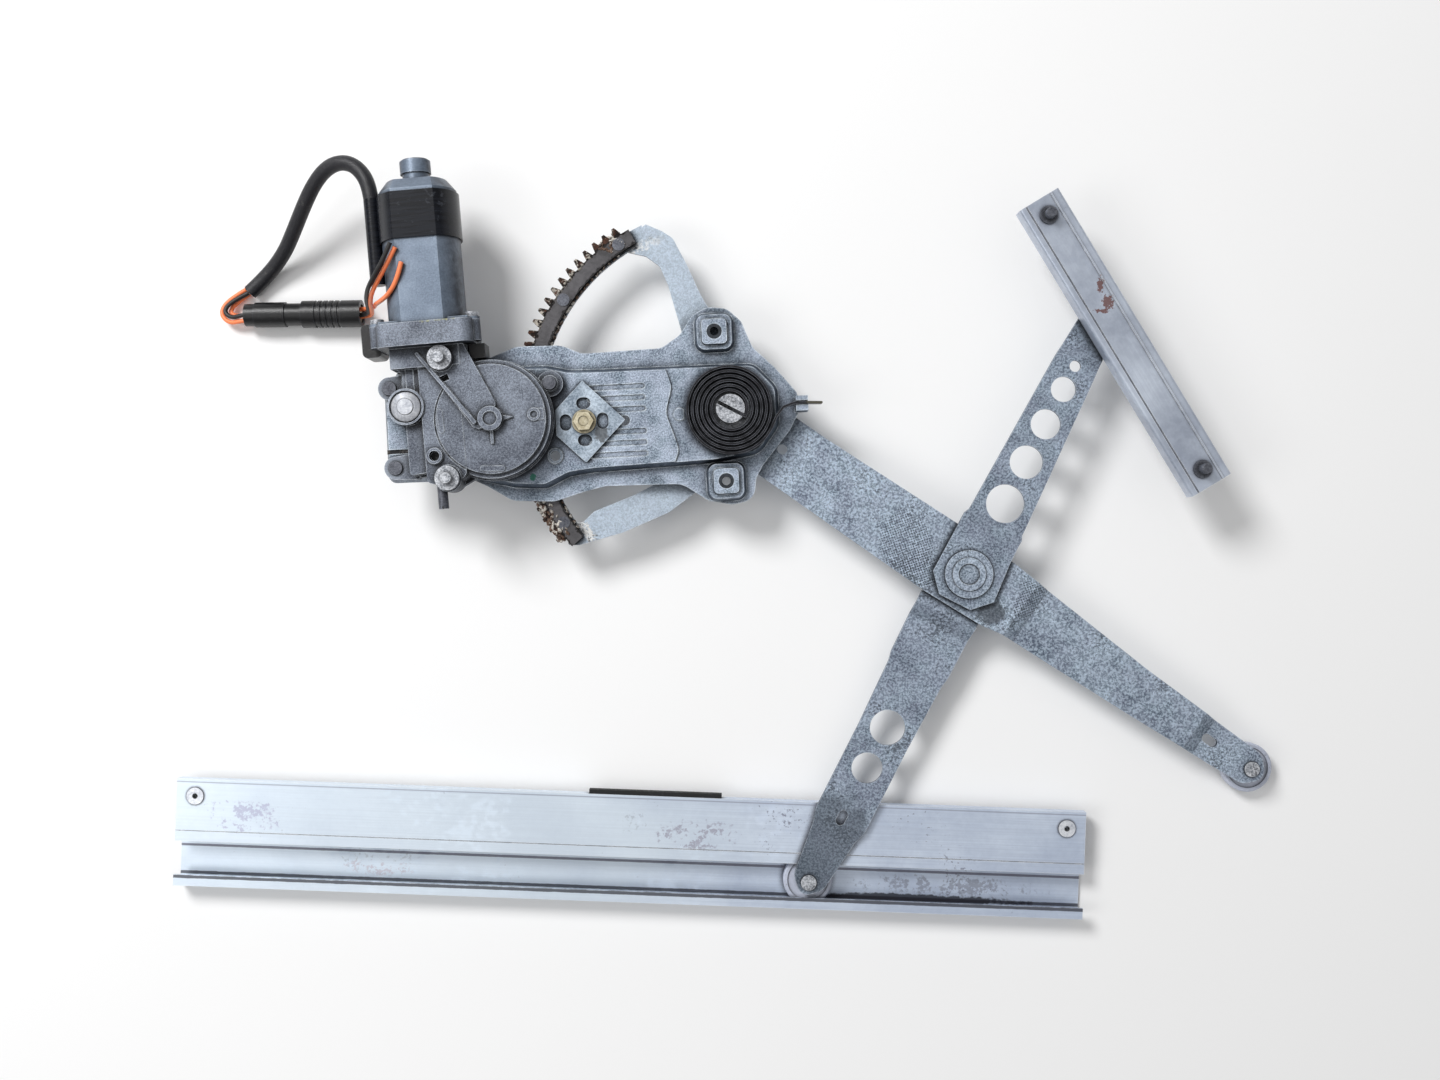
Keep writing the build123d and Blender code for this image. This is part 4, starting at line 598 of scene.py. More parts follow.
tooth_steel.layer(tooth_steel.where(toothed, tooth_steel.group(
    flecks, Fleck_Size=380.0, Region_Size=60.0, Amount=0.85)), paint(24, 21, 19), 0.85)
tooth_steel.layer(tooth_steel.where(toothed, tooth_steel.group(
    flecks, Fleck_Size=620.0, Region_Size=75.0, Amount=0.66)), paint(206, 199, 188), 0.8)
# Painted shade on the strip's steep walls.
tooth_steel.layer(tooth_steel.group(painted_wall_shade), paint(40, 33, 29), 0.6)
tooth_steel.roughen(toothed, 0.75)
tooth_steel.raise_by(tooth_steel.where(toothed, tooth_steel.group(
    flecks, Fleck_Size=450.0, Region_Size=60.0, Amount=0.9)), 0.0006, 0.8)
coat(tooth_steel, "sector_teeth", "drive_pinion")

# %% [markdown]
# The gearbox is die-cast aluminium alloy: a neutral blue-grey with a fine cast grain. Painted shade
# darkens its steep walls and fills every corner, and the arrises are painted bright, partly as wear
# where hands and tools have touched them and partly as a painted highlight. Five small marks in a row
# make a short yellowish bead along the joint with the motor.

# %% Die-cast grey of the gearbox
cast_grey = Finish("cast_grey", paint(64, 69, 81), metallic=0.35, roughness=0.45)
cast_grey.layer(cast_grey.group(zinc_cloud, Patch_Size=40.0, Speckle_Size=1150.0, Speckle_Share=0.5),
                paint(138, 146, 159))
cast_grey.layer(cast_grey.group(flecks, Fleck_Size=1200.0, Region_Size=35.0, Amount=0.5),
                paint(42, 45, 53), 0.5)
cast_grey.layer(cast_grey.group(mark, Middle=(-0.1830, -0.0600, 0.006), Half_Size=(0.014, 0.040, 0.030),
                                Raggedness=0.2, Grain_Size=90.0), paint(186, 194, 206), 0.35)
# Painted shade on the steep walls and in the corners, the deepest nearly black; the arrises painted bright,
# partly as wear and partly as a painted highlight.
cast_grey.layer(cast_grey.group(painted_wall_shade, Flat_Above=0.85), paint(38, 42, 51), 0.7)
cast_grey.layer(cast_grey.corners(0.018), paint(22, 25, 31), 0.65)
cast_grey.layer(cast_grey.corners(0.006), paint(12, 13, 17), 0.97)
cast_grey.layer(cast_grey.group(edge_wear_and_highlight, Breakup=0.26, Reach=0.0009), paint(206, 213, 222), 0.85)
motor_turn = radians(7.0)
bead_parts = 5
bead_start = -0.0090
bead_step = 0.0045
bead_middle = (-0.1536, -0.0034, 0.0190)
for part in range(bead_parts):
    along_joint = bead_start + bead_step * part
    bead_place = (bead_middle[0] + along_joint * cos(motor_turn),
                  bead_middle[1] + along_joint * sin(motor_turn), bead_middle[2])
    cast_grey.layer(cast_grey.group(mark, Middle=bead_place, Half_Size=(0.0034, 0.0013, 0.0090),
                                    Raggedness=0.25, Grain_Size=500.0), paint(158, 158, 104), 0.9)
cast_grey.raise_by(cast_grey.group(zinc_cloud, Patch_Size=300.0, Speckle_Size=1300.0, Speckle_Share=0.7),
                   0.0002, 0.5)
coat(cast_grey, "gearbox_housing")

# %% [markdown]
# The motor can is painted a satin blue-grey. Its sleeve is glossy black tape with faint ridges where
# the turns overlap, and the lead block, plug and socket are plain black moulded plastic.

# %% Satin paint of the motor can
can_paint = Finish("can_paint", paint(106, 119, 136), metallic=0.3, roughness=0.36)
can_paint.layer(can_paint.group(zinc_cloud, Patch_Size=40.0, Speckle_Size=900.0, Speckle_Share=0.35),
                paint(148, 162, 180), 0.7)
# Painted shade: the can's steep sides darker and its corners dark; the edges painted bright, partly as wear
# and partly as a painted highlight.
can_paint.layer(can_paint.group(painted_wall_shade, Flat_Above=0.93, Steep_Below=0.5), paint(34, 39, 49), 0.9)
can_paint.layer(can_paint.corners(0.004), paint(26, 29, 36), 0.8)
can_paint.layer(can_paint.group(edge_wear_and_highlight, Breakup=0.35), paint(190, 201, 213), 0.6)
can_paint.roughen(can_paint.group(flecks, Fleck_Size=300.0, Region_Size=30.0, Amount=0.5), 0.6)
can_paint.raise_by(can_paint.group(zinc_cloud, Patch_Size=200.0, Speckle_Size=1200.0, Speckle_Share=0.6),
                   0.0001, 0.4)
coat(can_paint, "motor_can")

# %% Black plastics and the sleeve's tape
black_plastic = Finish("black_plastic", paint(10, 10, 13), roughness=0.34)
black_plastic.layer(black_plastic.group(flecks, Fleck_Size=500.0, Region_Size=50.0, Amount=0.5),
                    paint(40, 40, 44), 0.35)
# The edges painted bright, partly as wear and partly as a painted highlight.
black_plastic.layer(black_plastic.group(edge_wear_and_highlight, Breakup=0.3), paint(74, 76, 84), 0.6)
black_plastic.raise_by(black_plastic.group(zinc_cloud, Patch_Size=400.0, Speckle_Size=1500.0,
                                           Speckle_Share=0.6), 0.0001, 0.4)
coat(black_plastic, "lead_housing", "cable_plug", "harness_socket", "brush_holder")

sleeve_tape = Finish("sleeve_tape", paint(15, 17, 23), roughness=0.26)
sleeve_tape.layer(sleeve_tape.group(drawn_lines, Turn=(0.0, 0.0, -motor_turn),
                                    Stretch=(60.0, 700.0, 60.0), Sharpness=0.06), paint(40, 44, 54), 0.25)
sleeve_tape.layer(sleeve_tape.group(flecks, Fleck_Size=300.0, Region_Size=40.0, Amount=0.4),
                  paint(86, 90, 99), 0.3)
sleeve_tape.raise_by(sleeve_tape.group(drawn_lines, Turn=(0.0, 0.0, -motor_turn),
                                       Stretch=(40.0, 420.0, 40.0), Sharpness=0.3), 0.0002, 0.15)
sleeve_tape.shader.inputs["Specular IOR Level"].default_value = 0.3
coat(sleeve_tape, "motor_sleeve")

# %% [markdown]
# The two rails are extruded aluminium alloy with a lavender sheen, drawn lines along their length and
# many scuffs. The lines run along X on the long rail and along the rail's own direction on the short
# one, so each rail has its own turn. The long rail's left part is painted lighter as a painted
# reflection. Three darker lines run along the steps of the long rail: a line along the clamp's top
# edge, and painted shadow under the step and under the lip. A dark ring lies round each of its rivet
# nuts.

# %% Extruded aluminium of the rails
def rail_finish(name, turn, ground, bloom):
    rail = Finish(name, ground, metallic=0.45, roughness=0.34)
    rail.layer(rail.group(zinc_cloud, Patch_Size=14.0, Speckle_Size=260.0, Speckle_Share=0.15), bloom, 0.8)
    rail.layer(rail.group(drawn_lines, Turn=(0.0, 0.0, turn), Stretch=(12.0, 900.0, 900.0), Sharpness=0.12),
               paint(160, 168, 188), 0.22)
    rail.layer(rail.group(flecks, Fleck_Size=500.0, Region_Size=30.0, Amount=0.36), paint(112, 112, 130), 0.7)
    return rail


def rail_edges(rail, turn):
    # Painted shade in the corners; the edges painted bright, partly as wear and partly as a painted
    # highlight.
    rail.layer(rail.corners(0.004), paint(58, 58, 68), 0.85)
    rail.layer(rail.group(edge_wear_and_highlight, Breakup=0.2, Reach=0.0007), paint(246, 250, 255), 0.85)
    rail.roughen(rail.group(flecks, Fleck_Size=200.0, Region_Size=15.0, Amount=0.6), 0.6)
    rail.raise_by(rail.group(drawn_lines, Turn=(0.0, 0.0, turn), Stretch=(25.0, 1200.0, 1200.0),
                             Sharpness=0.3), 0.0001, 0.25)
    print(rail.material.name, "has", len(rail.tree.nodes), "nodes")


panel_level = -0.027
channel_level = -0.040
long_rail = rail_finish("long_rail_aluminium", 0.0, paint(190, 202, 222), paint(224, 235, 250))
# Painted reflection: the left part of the long rail painted lighter.
long_rail.layer(long_rail.group(mark, Middle=(-0.3000, -0.3050, panel_level),
                                Half_Size=(0.3300, 0.0700, 0.03), Raggedness=0.08, Grain_Size=12.0),
                paint(232, 244, 252), 0.55)
scuffs = [((0.0020, -0.2950, panel_level), (0.0230, 0.0080, 0.004), 0.45, (150, 142, 160)),
          ((-0.2680, -0.2930, panel_level), (0.0180, 0.0090, 0.004), 0.55, (168, 166, 196)),
          ((-0.1880, -0.3230, channel_level), (0.0200, 0.0050, 0.004), 0.35, (196, 186, 196)),
          ((0.1500, -0.3215, channel_level), (0.0500, 0.0060, 0.004), 0.55, (122, 124, 138))]
for middle, size, raggedness, shade in scuffs:
    scuffed = long_rail.where(
        long_rail.group(mark, Middle=middle, Half_Size=size, Raggedness=raggedness, Grain_Size=260.0),
        long_rail.group(flecks, Fleck_Size=420.0, Region_Size=90.0, Amount=0.80))
    long_rail.layer(scuffed, paint(*shade), 0.6)
long_rail.layer(long_rail.group(mark, Middle=(0.1300, -0.3300, -0.038), Half_Size=(0.0650, 0.0028, 0.006),
                                Raggedness=0.4, Grain_Size=120.0), paint(34, 32, 38), 0.85)
rail_edges(long_rail, 0.0)
# The two lower lines are painted shadow, under the step and under the lip; the upper one is a darker line
# along the clamp's top edge.
for line_y, half_width, shade, strength in ((-0.2742, 0.0004, (140, 142, 160), 0.6),
                                            (-0.3137, 0.0008, (96, 95, 110), 0.85),
                                            (-0.3302, 0.0010, (52, 50, 58), 0.85)):
    long_rail.layer(long_rail.group(mark, Middle=(0.0, line_y, -0.030), Half_Size=(0.9000, half_width, 0.05),
                                    Raggedness=0.15, Grain_Size=150.0), paint(*shade), strength)
for nut_x in (-0.2964, 0.2192):
    long_rail.layer(long_rail.group(mark, Middle=(nut_x, -0.2824, -0.030), Half_Size=(0.0061, 0.0061, 0.01),
                                    Raggedness=0.05), paint(72, 72, 84), 0.85)
coat(long_rail, "glass_rail")

short_turn = radians(56.7)
short_rail = rail_finish("short_rail_aluminium", short_turn, paint(156, 164, 179), paint(218, 227, 240))
short_rail_face = 0.0066
rust_spots = [((0.2236, 0.0241, short_rail_face), (0.0028, 0.0040, 0.004)),
              ((0.2187, 0.0336, short_rail_face), (0.0017, 0.0045, 0.004)),
              ((0.2200, 0.0190, short_rail_face), (0.0040, 0.0012, 0.004))]
for middle, size in rust_spots:
    short_rail.layer(short_rail.group(mark, Middle=middle, Half_Size=size, Raggedness=0.9, Grain_Size=700.0),
                     paint(112, 66, 56), 0.85)
rail_edges(short_rail, short_turn)
coat(short_rail, "fixed_rail")

# %% [markdown]
# Pins, posts and the can's screws are plated bright, the mounting bush and the rivet nuts are
# polished, and the adjusting bolt is yellow zinc. The strip's rivets, the studs, the rotor, the magnets
# and the other screws are dark steel. The weld nuts behind the pads are darker still with oil, and the
# spring is black with a greasy shine, given by its low roughness and by painted highlights along its
# coils' edges.

# %% Plated and bare steels
bright_steel = Finish("bright_steel", paint(106, 111, 119), metallic=0.5, roughness=0.35)
bright_steel.layer(bright_steel.group(zinc_cloud, Patch_Size=260.0, Speckle_Size=900.0, Speckle_Share=0.6),
                   paint(222, 225, 231))
bright_steel.layer(bright_steel.group(flecks, Fleck_Size=700.0, Region_Size=90.0, Amount=0.6),
                   paint(74, 74, 80), 0.7)
# Painted shade in the corners; the edges painted bright, partly as wear and partly as a painted highlight.
bright_steel.layer(bright_steel.corners(0.003), paint(26, 27, 31), 0.9)
bright_steel.layer(bright_steel.group(edge_wear_and_highlight, Breakup=0.2, Reach=0.0006), paint(242, 244, 248), 0.6)
coat(bright_steel, "mount_post_upper", "mount_post_lower", "motor_flange_screws", "pivot_bush", "worm",
     "output_shaft", "pivot_pin", "glass_roller_pin", "lift_roller_pin", "slider_pin")

polished_steel = Finish("polished_steel", paint(186, 190, 200), metallic=0.5, roughness=0.3)
polished_steel.layer(polished_steel.group(zinc_cloud, Patch_Size=180.0, Speckle_Size=700.0,
                                          Speckle_Share=0.4), paint(240, 243, 248))
# Painted shade: the corners dark and the steep walls darker.
polished_steel.layer(polished_steel.corners(0.004), paint(40, 40, 42), 0.9)
polished_steel.layer(polished_steel.group(painted_wall_shade), paint(120, 116, 108), 0.5)
coat(polished_steel, "mount_bush", "rail_rivet_nuts")

yellow_zinc = Finish("yellow_zinc", paint(178, 166, 136), metallic=0.45, roughness=0.35)
yellow_zinc.layer(yellow_zinc.group(zinc_cloud, Patch_Size=250.0, Speckle_Size=700.0, Speckle_Share=0.4),
                  paint(226, 218, 192))
# Painted shade: the steep walls darker and the corners dark.
yellow_zinc.layer(yellow_zinc.group(painted_wall_shade), paint(132, 114, 74), 0.7)
yellow_zinc.layer(yellow_zinc.corners(0.003), paint(66, 56, 36), 0.85)
coat(yellow_zinc, "diamond_bolt")

dark_steel = Finish("dark_steel", paint(66, 68, 76), metallic=0.5, roughness=0.42)
dark_steel.layer(dark_steel.group(zinc_cloud, Patch_Size=150.0, Speckle_Size=900.0, Speckle_Share=0.5),
                 paint(114, 117, 126))
# Painted shade in the corners; the edges painted bright, partly as wear and partly as a painted highlight.
dark_steel.layer(dark_steel.corners(0.003), paint(18, 18, 21), 0.85)
dark_steel.layer(dark_steel.group(edge_wear_and_highlight, Breakup=0.3, Reach=0.0006), paint(150, 154, 163), 0.5)
coat(dark_steel, "diamond_nut", "gearbox_screws", "thrust_screw", "rotor_shaft", "armature", "sector_rivets",
     "field_magnets", "fixed_rail_studs")

oiled_steel = Finish("oiled_steel", paint(30, 33, 38), metallic=0.4, roughness=0.45)
oiled_steel.layer(oiled_steel.group(zinc_cloud, Patch_Size=150.0, Speckle_Size=900.0, Speckle_Share=0.5),
                  paint(66, 72, 80), 0.8)
# Painted shade in the corners.
oiled_steel.layer(oiled_steel.corners(0.004), paint(8, 9, 11), 0.9)
coat(oiled_steel, "upper_weld_nut", "lower_weld_nut")

spring_steel = Finish("spring_steel", paint(20, 20, 25), metallic=0.4, roughness=0.3)
spring_steel.layer(spring_steel.group(flecks, Fleck_Size=400.0, Region_Size=60.0, Amount=0.5),
                   paint(66, 66, 72), 0.6)
# The coils' edges painted bright, partly as wear and partly as a painted highlight.
spring_steel.layer(spring_steel.group(edge_wear_and_highlight, Breakup=0.25, Reach=0.0008), paint(138, 142, 152), 0.75)
spring_steel.layer(spring_steel.group(mark, Middle=(0.0600, -0.0392, 0.003),
                                      Half_Size=(0.0080, 0.0040, 0.006), Raggedness=0.3),
                   paint(88, 84, 72), 0.9)
coat(spring_steel, "counterbalance_spring")

# %% [markdown]
# The rollers and the slider are moulded in a pale nylon with a cold, slightly blue tone. The bronze
# bearing, the copper commutator, the cream seal and the rubber pad complete the list.

# %% Nylon, bronze, copper, seal and rubber
nylon = Finish("nylon", paint(178, 184, 200), roughness=0.42)
nylon.layer(nylon.group(zinc_cloud, Patch_Size=70.0, Speckle_Size=500.0, Speckle_Share=0.3),
            paint(206, 212, 228), 0.8)
nylon.layer(nylon.group(flecks, Fleck_Size=500.0, Region_Size=60.0, Amount=0.5), paint(112, 112, 118), 0.5)
# Painted shade in the corners.
nylon.layer(nylon.corners(0.003), paint(84, 84, 92), 0.8)
nylon.raise_by(nylon.group(zinc_cloud, Patch_Size=300.0, Speckle_Size=900.0, Speckle_Share=0.5), 0.0002, 0.3)
coat(nylon, "lift_roller", "glass_roller", "rail_slider", "worm_wheel")

bronze = Finish("bronze", paint(176, 142, 92), metallic=0.8, roughness=0.4)
bronze.layer(bronze.group(zinc_cloud, Patch_Size=300.0, Speckle_Size=1200.0, Speckle_Share=0.7),
             paint(136, 104, 66), 0.7)
coat(bronze, "end_bearing")

copper = Finish("copper", paint(196, 124, 86), metallic=0.9, roughness=0.35)
copper.layer(copper.group(flecks, Fleck_Size=500.0, Region_Size=90.0, Amount=0.6), paint(110, 64, 44), 0.7)
coat(copper, "commutator")

cream_rubber = Finish("cream_rubber", paint(206, 190, 160), roughness=0.6)
cream_rubber.layer(cream_rubber.group(flecks, Fleck_Size=600.0, Region_Size=90.0, Amount=0.6),
                   paint(112, 92, 70), 0.6)
# Painted shade in the corners.
cream_rubber.layer(cream_rubber.corners(0.003), paint(60, 48, 38), 0.7)
coat(cream_rubber, "socket_seal")

buffer_rubber = Finish("buffer_rubber", paint(26, 26, 27), roughness=0.8)
buffer_rubber.layer(buffer_rubber.group(flecks, Fleck_Size=500.0, Region_Size=60.0, Amount=0.6),
                    paint(62, 60, 58), 0.5)
coat(buffer_rubber, "rubber_pad")

# %% [markdown]
# The leads are flexible, so they are drawn as curves: each is one smooth line with a round section.
# Their points are chosen one by one, in metres. The motor's cable leaves the sleeve on the can's side,
# loops over and comes down to the floor, where three thin wires bend back into the plug. Seen from
# above, its arch reaches a little less far than that of the plain tube in the frame, as the photograph
# has it. From the socket's far end three cut wires climb up against the can.

# %% The wire finishes
cable_sheath = Finish("cable_sheath", paint(24, 24, 30), roughness=0.4)
cable_sheath.layer(cable_sheath.group(flecks, Fleck_Size=600.0, Region_Size=60.0, Amount=0.5),
                   paint(70, 68, 66), 0.6)
cable_sheath.raise_by(cable_sheath.group(zinc_cloud, Patch_Size=500.0, Speckle_Size=1500.0,
                                         Speckle_Share=0.6), 0.0002, 0.5)

orange_wire = Finish("orange_wire", paint(255, 138, 86), roughness=0.4)
orange_wire.layer(orange_wire.group(flecks, Fleck_Size=500.0, Region_Size=90.0, Amount=0.5),
                  paint(206, 92, 56), 0.4)

black_wire = Finish("black_wire", paint(32, 31, 32), roughness=0.5)
black_wire.layer(black_wire.group(flecks, Fleck_Size=500.0, Region_Size=90.0, Amount=0.5),
                 paint(76, 72, 68), 0.5)

# %% A lead as a smooth curve through its route
def lead(name, route, radius, finish):
    """A round lead on one NURBS line whose control points are the route's, in metres."""
    curve = bpy.data.curves.new(name, "CURVE")
    curve.dimensions = "3D"
    curve.bevel_depth = radius
    curve.bevel_resolution = 6
    curve.resolution_u = 16
    curve.use_fill_caps = True
    spline = curve.splines.new("NURBS")
    spline.points.add(len(route) - 1)
    for point, (x, y, z) in zip(spline.points, route):
        point.co = (x, y, z, 1.0)
    spline.order_u = 3
    spline.use_endpoint_u = True
    curve.materials.append(finish.material)
    piece = bpy.data.objects.new(name, curve)
    bpy.context.scene.collection.objects.link(piece)
    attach(piece, "base")
    print(name, "with", len(route), "points")
    return piece


# %% The motor's cable
cable_radius = 0.0044
cable_route = [(-0.19745, 0.06613, 0.0080), (-0.1988, 0.0730, 0.0082), (-0.2026, 0.0806, 0.0076),
               (-0.2092, 0.0864, 0.0060), (-0.2178, 0.0880, 0.0032), (-0.2266, 0.0846, -0.0008),
               (-0.2344, 0.0766, -0.0060), (-0.2414, 0.0654, -0.0122), (-0.2484, 0.0530, -0.0196),
               (-0.2560, 0.0405, -0.0275), (-0.2675, 0.0279, -0.0347), (-0.2780, 0.0177, -0.0353)]
motor_cable = lead("motor_cable_line", cable_route, cable_radius, cable_sheath)
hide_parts("motor_cable")

# %% Three thin wires that bend back into the plug
wire_radius = 0.0013
bend_routes = [
    [(-0.2787, 0.0170, -0.0370), (-0.2870, 0.0110, -0.0372), (-0.2900, 0.0056, -0.0364),
     (-0.2860, 0.0030, -0.0352), (-0.2805, 0.0038, -0.0341), (-0.2752, 0.0042, -0.0338)],
    [(-0.2787, 0.0170, -0.0342), (-0.2892, 0.0112, -0.0342), (-0.2926, 0.0052, -0.0332),
     (-0.2876, 0.0014, -0.0322), (-0.2805, 0.0034, -0.0306), (-0.2752, 0.0039, -0.0303)],
    [(-0.2805, 0.0192, -0.0356), (-0.2910, 0.0129, -0.0364), (-0.2956, 0.0046, -0.0356),
     (-0.2894, -0.0016, -0.0340), (-0.2810, 0.0002, -0.0323), (-0.2752, 0.0009, -0.0321)],
]
bend_finishes = [orange_wire, black_wire, orange_wire]
for number, (route, finish) in enumerate(zip(bend_routes, bend_finishes), 1):
    lead("bend_wire_" + str(number), route, wire_radius, finish)
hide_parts("cable_wires")

# %% Three cut wires from the socket up to the can
cut_routes = [
    [(-0.2107, 0.0093, -0.0306), (-0.2034, 0.0098, -0.0294), (-0.1980, 0.0095, -0.0140),
     (-0.1940, 0.0080, 0.0020), (-0.1885, 0.0076, 0.0150), (-0.1815, 0.0108, 0.0242),
     (-0.1764, 0.0185, 0.0286), (-0.1746, 0.0279, 0.0284)],
    [(-0.2107, 0.0054, -0.0332), (-0.2040, 0.0058, -0.0320), (-0.2000, 0.0066, -0.0150),
     (-0.1976, 0.0088, 0.0010), (-0.1935, 0.0130, 0.0145), (-0.1879, 0.0197, 0.0220),
     (-0.1820, 0.0285, 0.0272), (-0.1783, 0.0360, 0.0286)],
    [(-0.2107, 0.0056, -0.0292), (-0.2050, 0.0062, -0.0280), (-0.2018, 0.0080, -0.0124),
     (-0.1994, 0.0104, 0.0034), (-0.1953, 0.0146, 0.0172), (-0.1897, 0.0212, 0.0248),
     (-0.1838, 0.0300, 0.0298), (-0.1806, 0.0380, 0.0310)],
]
cut_finishes = [orange_wire, orange_wire, black_wire]
for number, (route, finish) in enumerate(zip(cut_routes, cut_finishes), 1):
    lead("cut_wire_" + str(number), route, wire_radius, finish)
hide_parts("harness_wires")

# %% [markdown]
# Dried grease stands on the sector in lumps: along the strip's inner edge, and over its two ends where
# the pinion never reaches. One lump is shaped from a ball: flattened, cut level underneath and made
# uneven. Copies of it, each with its own mesh, are then turned, sized and joined into one crust.

# %% One lump of dried grease
bpy.ops.object.select_all(action="DESELECT")
bpy.ops.mesh.primitive_ico_sphere_add(subdivisions=3, radius=1.0)
lump = bpy.context.object
lump.name = "grease_lump"
bpy.ops.object.mode_set(mode="EDIT")
bpy.ops.mesh.select_all(action="SELECT")
bpy.ops.transform.resize(value=(1.0, 0.72, 0.6))
bpy.ops.mesh.bisect(plane_co=(0.0, 0.0, -0.15), plane_no=(0.0, 0.0, 1.0), clear_inner=True, use_fill=True)
bpy.ops.object.mode_set(mode="OBJECT")
grease_grain = bpy.data.textures.new("grease_grain", "CLOUDS")
grease_grain.noise_scale = 0.55
uneven = lump.modifiers.new("uneven", "DISPLACE")
uneven.texture = grease_grain
uneven.strength = 0.5
uneven.mid_level = 0.5
bpy.ops.object.modifier_apply(modifier="uneven")
print("one lump has", len(lump.data.vertices), "points")

# %% The crust along the strip
strip_top = -0.0110
tooth_side = strip_top - 0.0028
edge_start = 128.0
lower_end = 206.0
lower_reach = 14.0
upper_end = 124.8
lump_places = []
for number in range(92):
    angle = edge_start + number + 0.5 * sin(number * 2.7)
    radius = strip_inner - 0.0004 - 0.0005 * abs(sin(number * 1.9))
    lump_places.append((angle, radius, arm_top, 0.0008 + 0.0004 * sin(number * 3.1) ** 2, 0.0026))
for number in range(24):
    angle = lower_end + lower_reach * (number / 24)
    lump_places.append((angle, 0.1232 + 0.0010 * sin(number * 2.1), tooth_side, 0.0017, 0.0032))
for number in range(48):
    angle = lower_end + lower_reach * (number / 48) + 0.4 * sin(number * 5.3)
    radius = 0.1168 + 0.0078 * abs(sin(number * 2.3))
    lump_places.append((angle, radius, strip_top, 0.0007 + 0.0008 * sin(number * 1.7) ** 2, 0.0016))
for number in range(10):
    angle = upper_end + 0.6 * number
    lump_places.append((angle, 0.1226 + 0.0008 * sin(number * 2.1), tooth_side, 0.0016, 0.0032))
for number in range(20):
    angle = 124.6 + 0.33 * number
    radius = 0.1150 + 0.0058 * abs(sin(number * 2.9))
    lump_places.append((angle, radius, strip_top, 0.0007 + 0.0005 * sin(number * 1.7) ** 2, 0.0010))
crust = []
for number, (angle, radius, level, half_size, height) in enumerate(lump_places):
    piece = lump.copy()
    piece.data = lump.data.copy()
    bpy.context.scene.collection.objects.link(piece)
    turn = radians(angle)
    piece.location = (pivot[0] + radius * cos(turn), pivot[1] + radius * sin(turn), level)
    piece.rotation_euler = (0.0, 0.0, turn + 1.4 + 0.8 * sin(number * 4.1))
    piece.scale = (half_size * 1.3, half_size, height)
    crust.append(piece)
bpy.data.objects.remove(lump)
bpy.ops.object.select_all(action="DESELECT")
for piece in crust:
    piece.select_set(True)
bpy.context.view_layer.objects.active = crust[0]
bpy.ops.object.transform_apply(location=True, rotation=True, scale=True)
bpy.ops.object.join()
strip_grease = bpy.context.object
strip_grease.name = "strip_grease"
bpy.ops.object.shade_smooth()
dried_grease = Finish("dried_grease", paint(58, 46, 40), roughness=0.6)
dried_grease.layer(dried_grease.group(zinc_cloud, Patch_Size=160.0, Speckle_Size=600.0, Speckle_Share=0.5),
                   paint(120, 92, 74), 0.8)
dried_grease.layer(dried_grease.group(flecks, Fleck_Size=500.0, Region_Size=120.0, Amount=0.9),
                   paint(222, 218, 210), 0.85)
dried_grease.raise_by(dried_grease.group(flecks, Fleck_Size=700.0, Region_Size=120.0, Amount=0.9),
                      0.0003, 0.6)
strip_grease.data.materials.clear()
strip_grease.data.materials.append(dried_grease.material)
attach(strip_grease, "lift_arm")
print("strip_grease from", len(crust), "lumps")

# %% [markdown]
# A dark bar fills the slot in the base plate's left strip. It is as wide as the slot, divided into
# small faces and made uneven, and it sinks a little below the sheet's upper face.

# %% A dark bar in the slot
slot_turn = radians(5.0)
slot_along = 0.1910
slot_aside = 0.0148
slot_bar_level = -0.0015
slot_x = pivot[0] - slot_along * cos(slot_turn) + slot_aside * sin(slot_turn)
slot_y = pivot[1] - slot_along * sin(slot_turn) - slot_aside * cos(slot_turn)
bpy.ops.object.select_all(action="DESELECT")
bpy.ops.mesh.primitive_cube_add(size=1.0, location=(slot_x, slot_y, slot_bar_level),
                                rotation=(0.0, 0.0, slot_turn), scale=(0.0138, 0.0025, 0.0012))
dark_slot_bar = bpy.context.object
dark_slot_bar.name = "dark_slot_bar"
bpy.ops.object.transform_apply(location=True, rotation=True, scale=True)
bpy.ops.object.mode_set(mode="EDIT")
bpy.ops.mesh.select_all(action="SELECT")
bpy.ops.mesh.subdivide(number_cuts=7)
bpy.ops.object.mode_set(mode="OBJECT")
slot_bar_grain = bpy.data.textures.new("slot_bar_grain", "CLOUDS")
slot_bar_grain.noise_scale = 0.002
bar_unevenness = dark_slot_bar.modifiers.new("bar_unevenness", "DISPLACE")
bar_unevenness.texture = slot_bar_grain
bar_unevenness.direction = "Z"
bar_unevenness.strength = 0.0006
bpy.ops.object.modifier_apply(modifier="bar_unevenness")
bpy.ops.object.shade_smooth_by_angle(angle=radians(40.0))
slot_bar_finish = Finish("slot_bar_finish", paint(34, 34, 37), roughness=0.85)
slot_bar_finish.layer(slot_bar_finish.group(flecks, Fleck_Size=700.0, Region_Size=120.0, Amount=0.8),
                  paint(84, 80, 76), 0.7)
dark_slot_bar.data.materials.append(slot_bar_finish.material)
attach(dark_slot_bar, "base")
print("dark_slot_bar at", round(slot_x, 4), round(slot_y, 4))

# %% [markdown]
# Last come the floor, the lights and the camera. The floor is a plain pale sheet under the object.
# A wide soft lamp at the upper left gives the shadows to the lower right, and the world fills in the
# rest. It is pale at the horizon, so that a view from the side has a pale background too, and has a
# dim band above it for the metal to mirror.

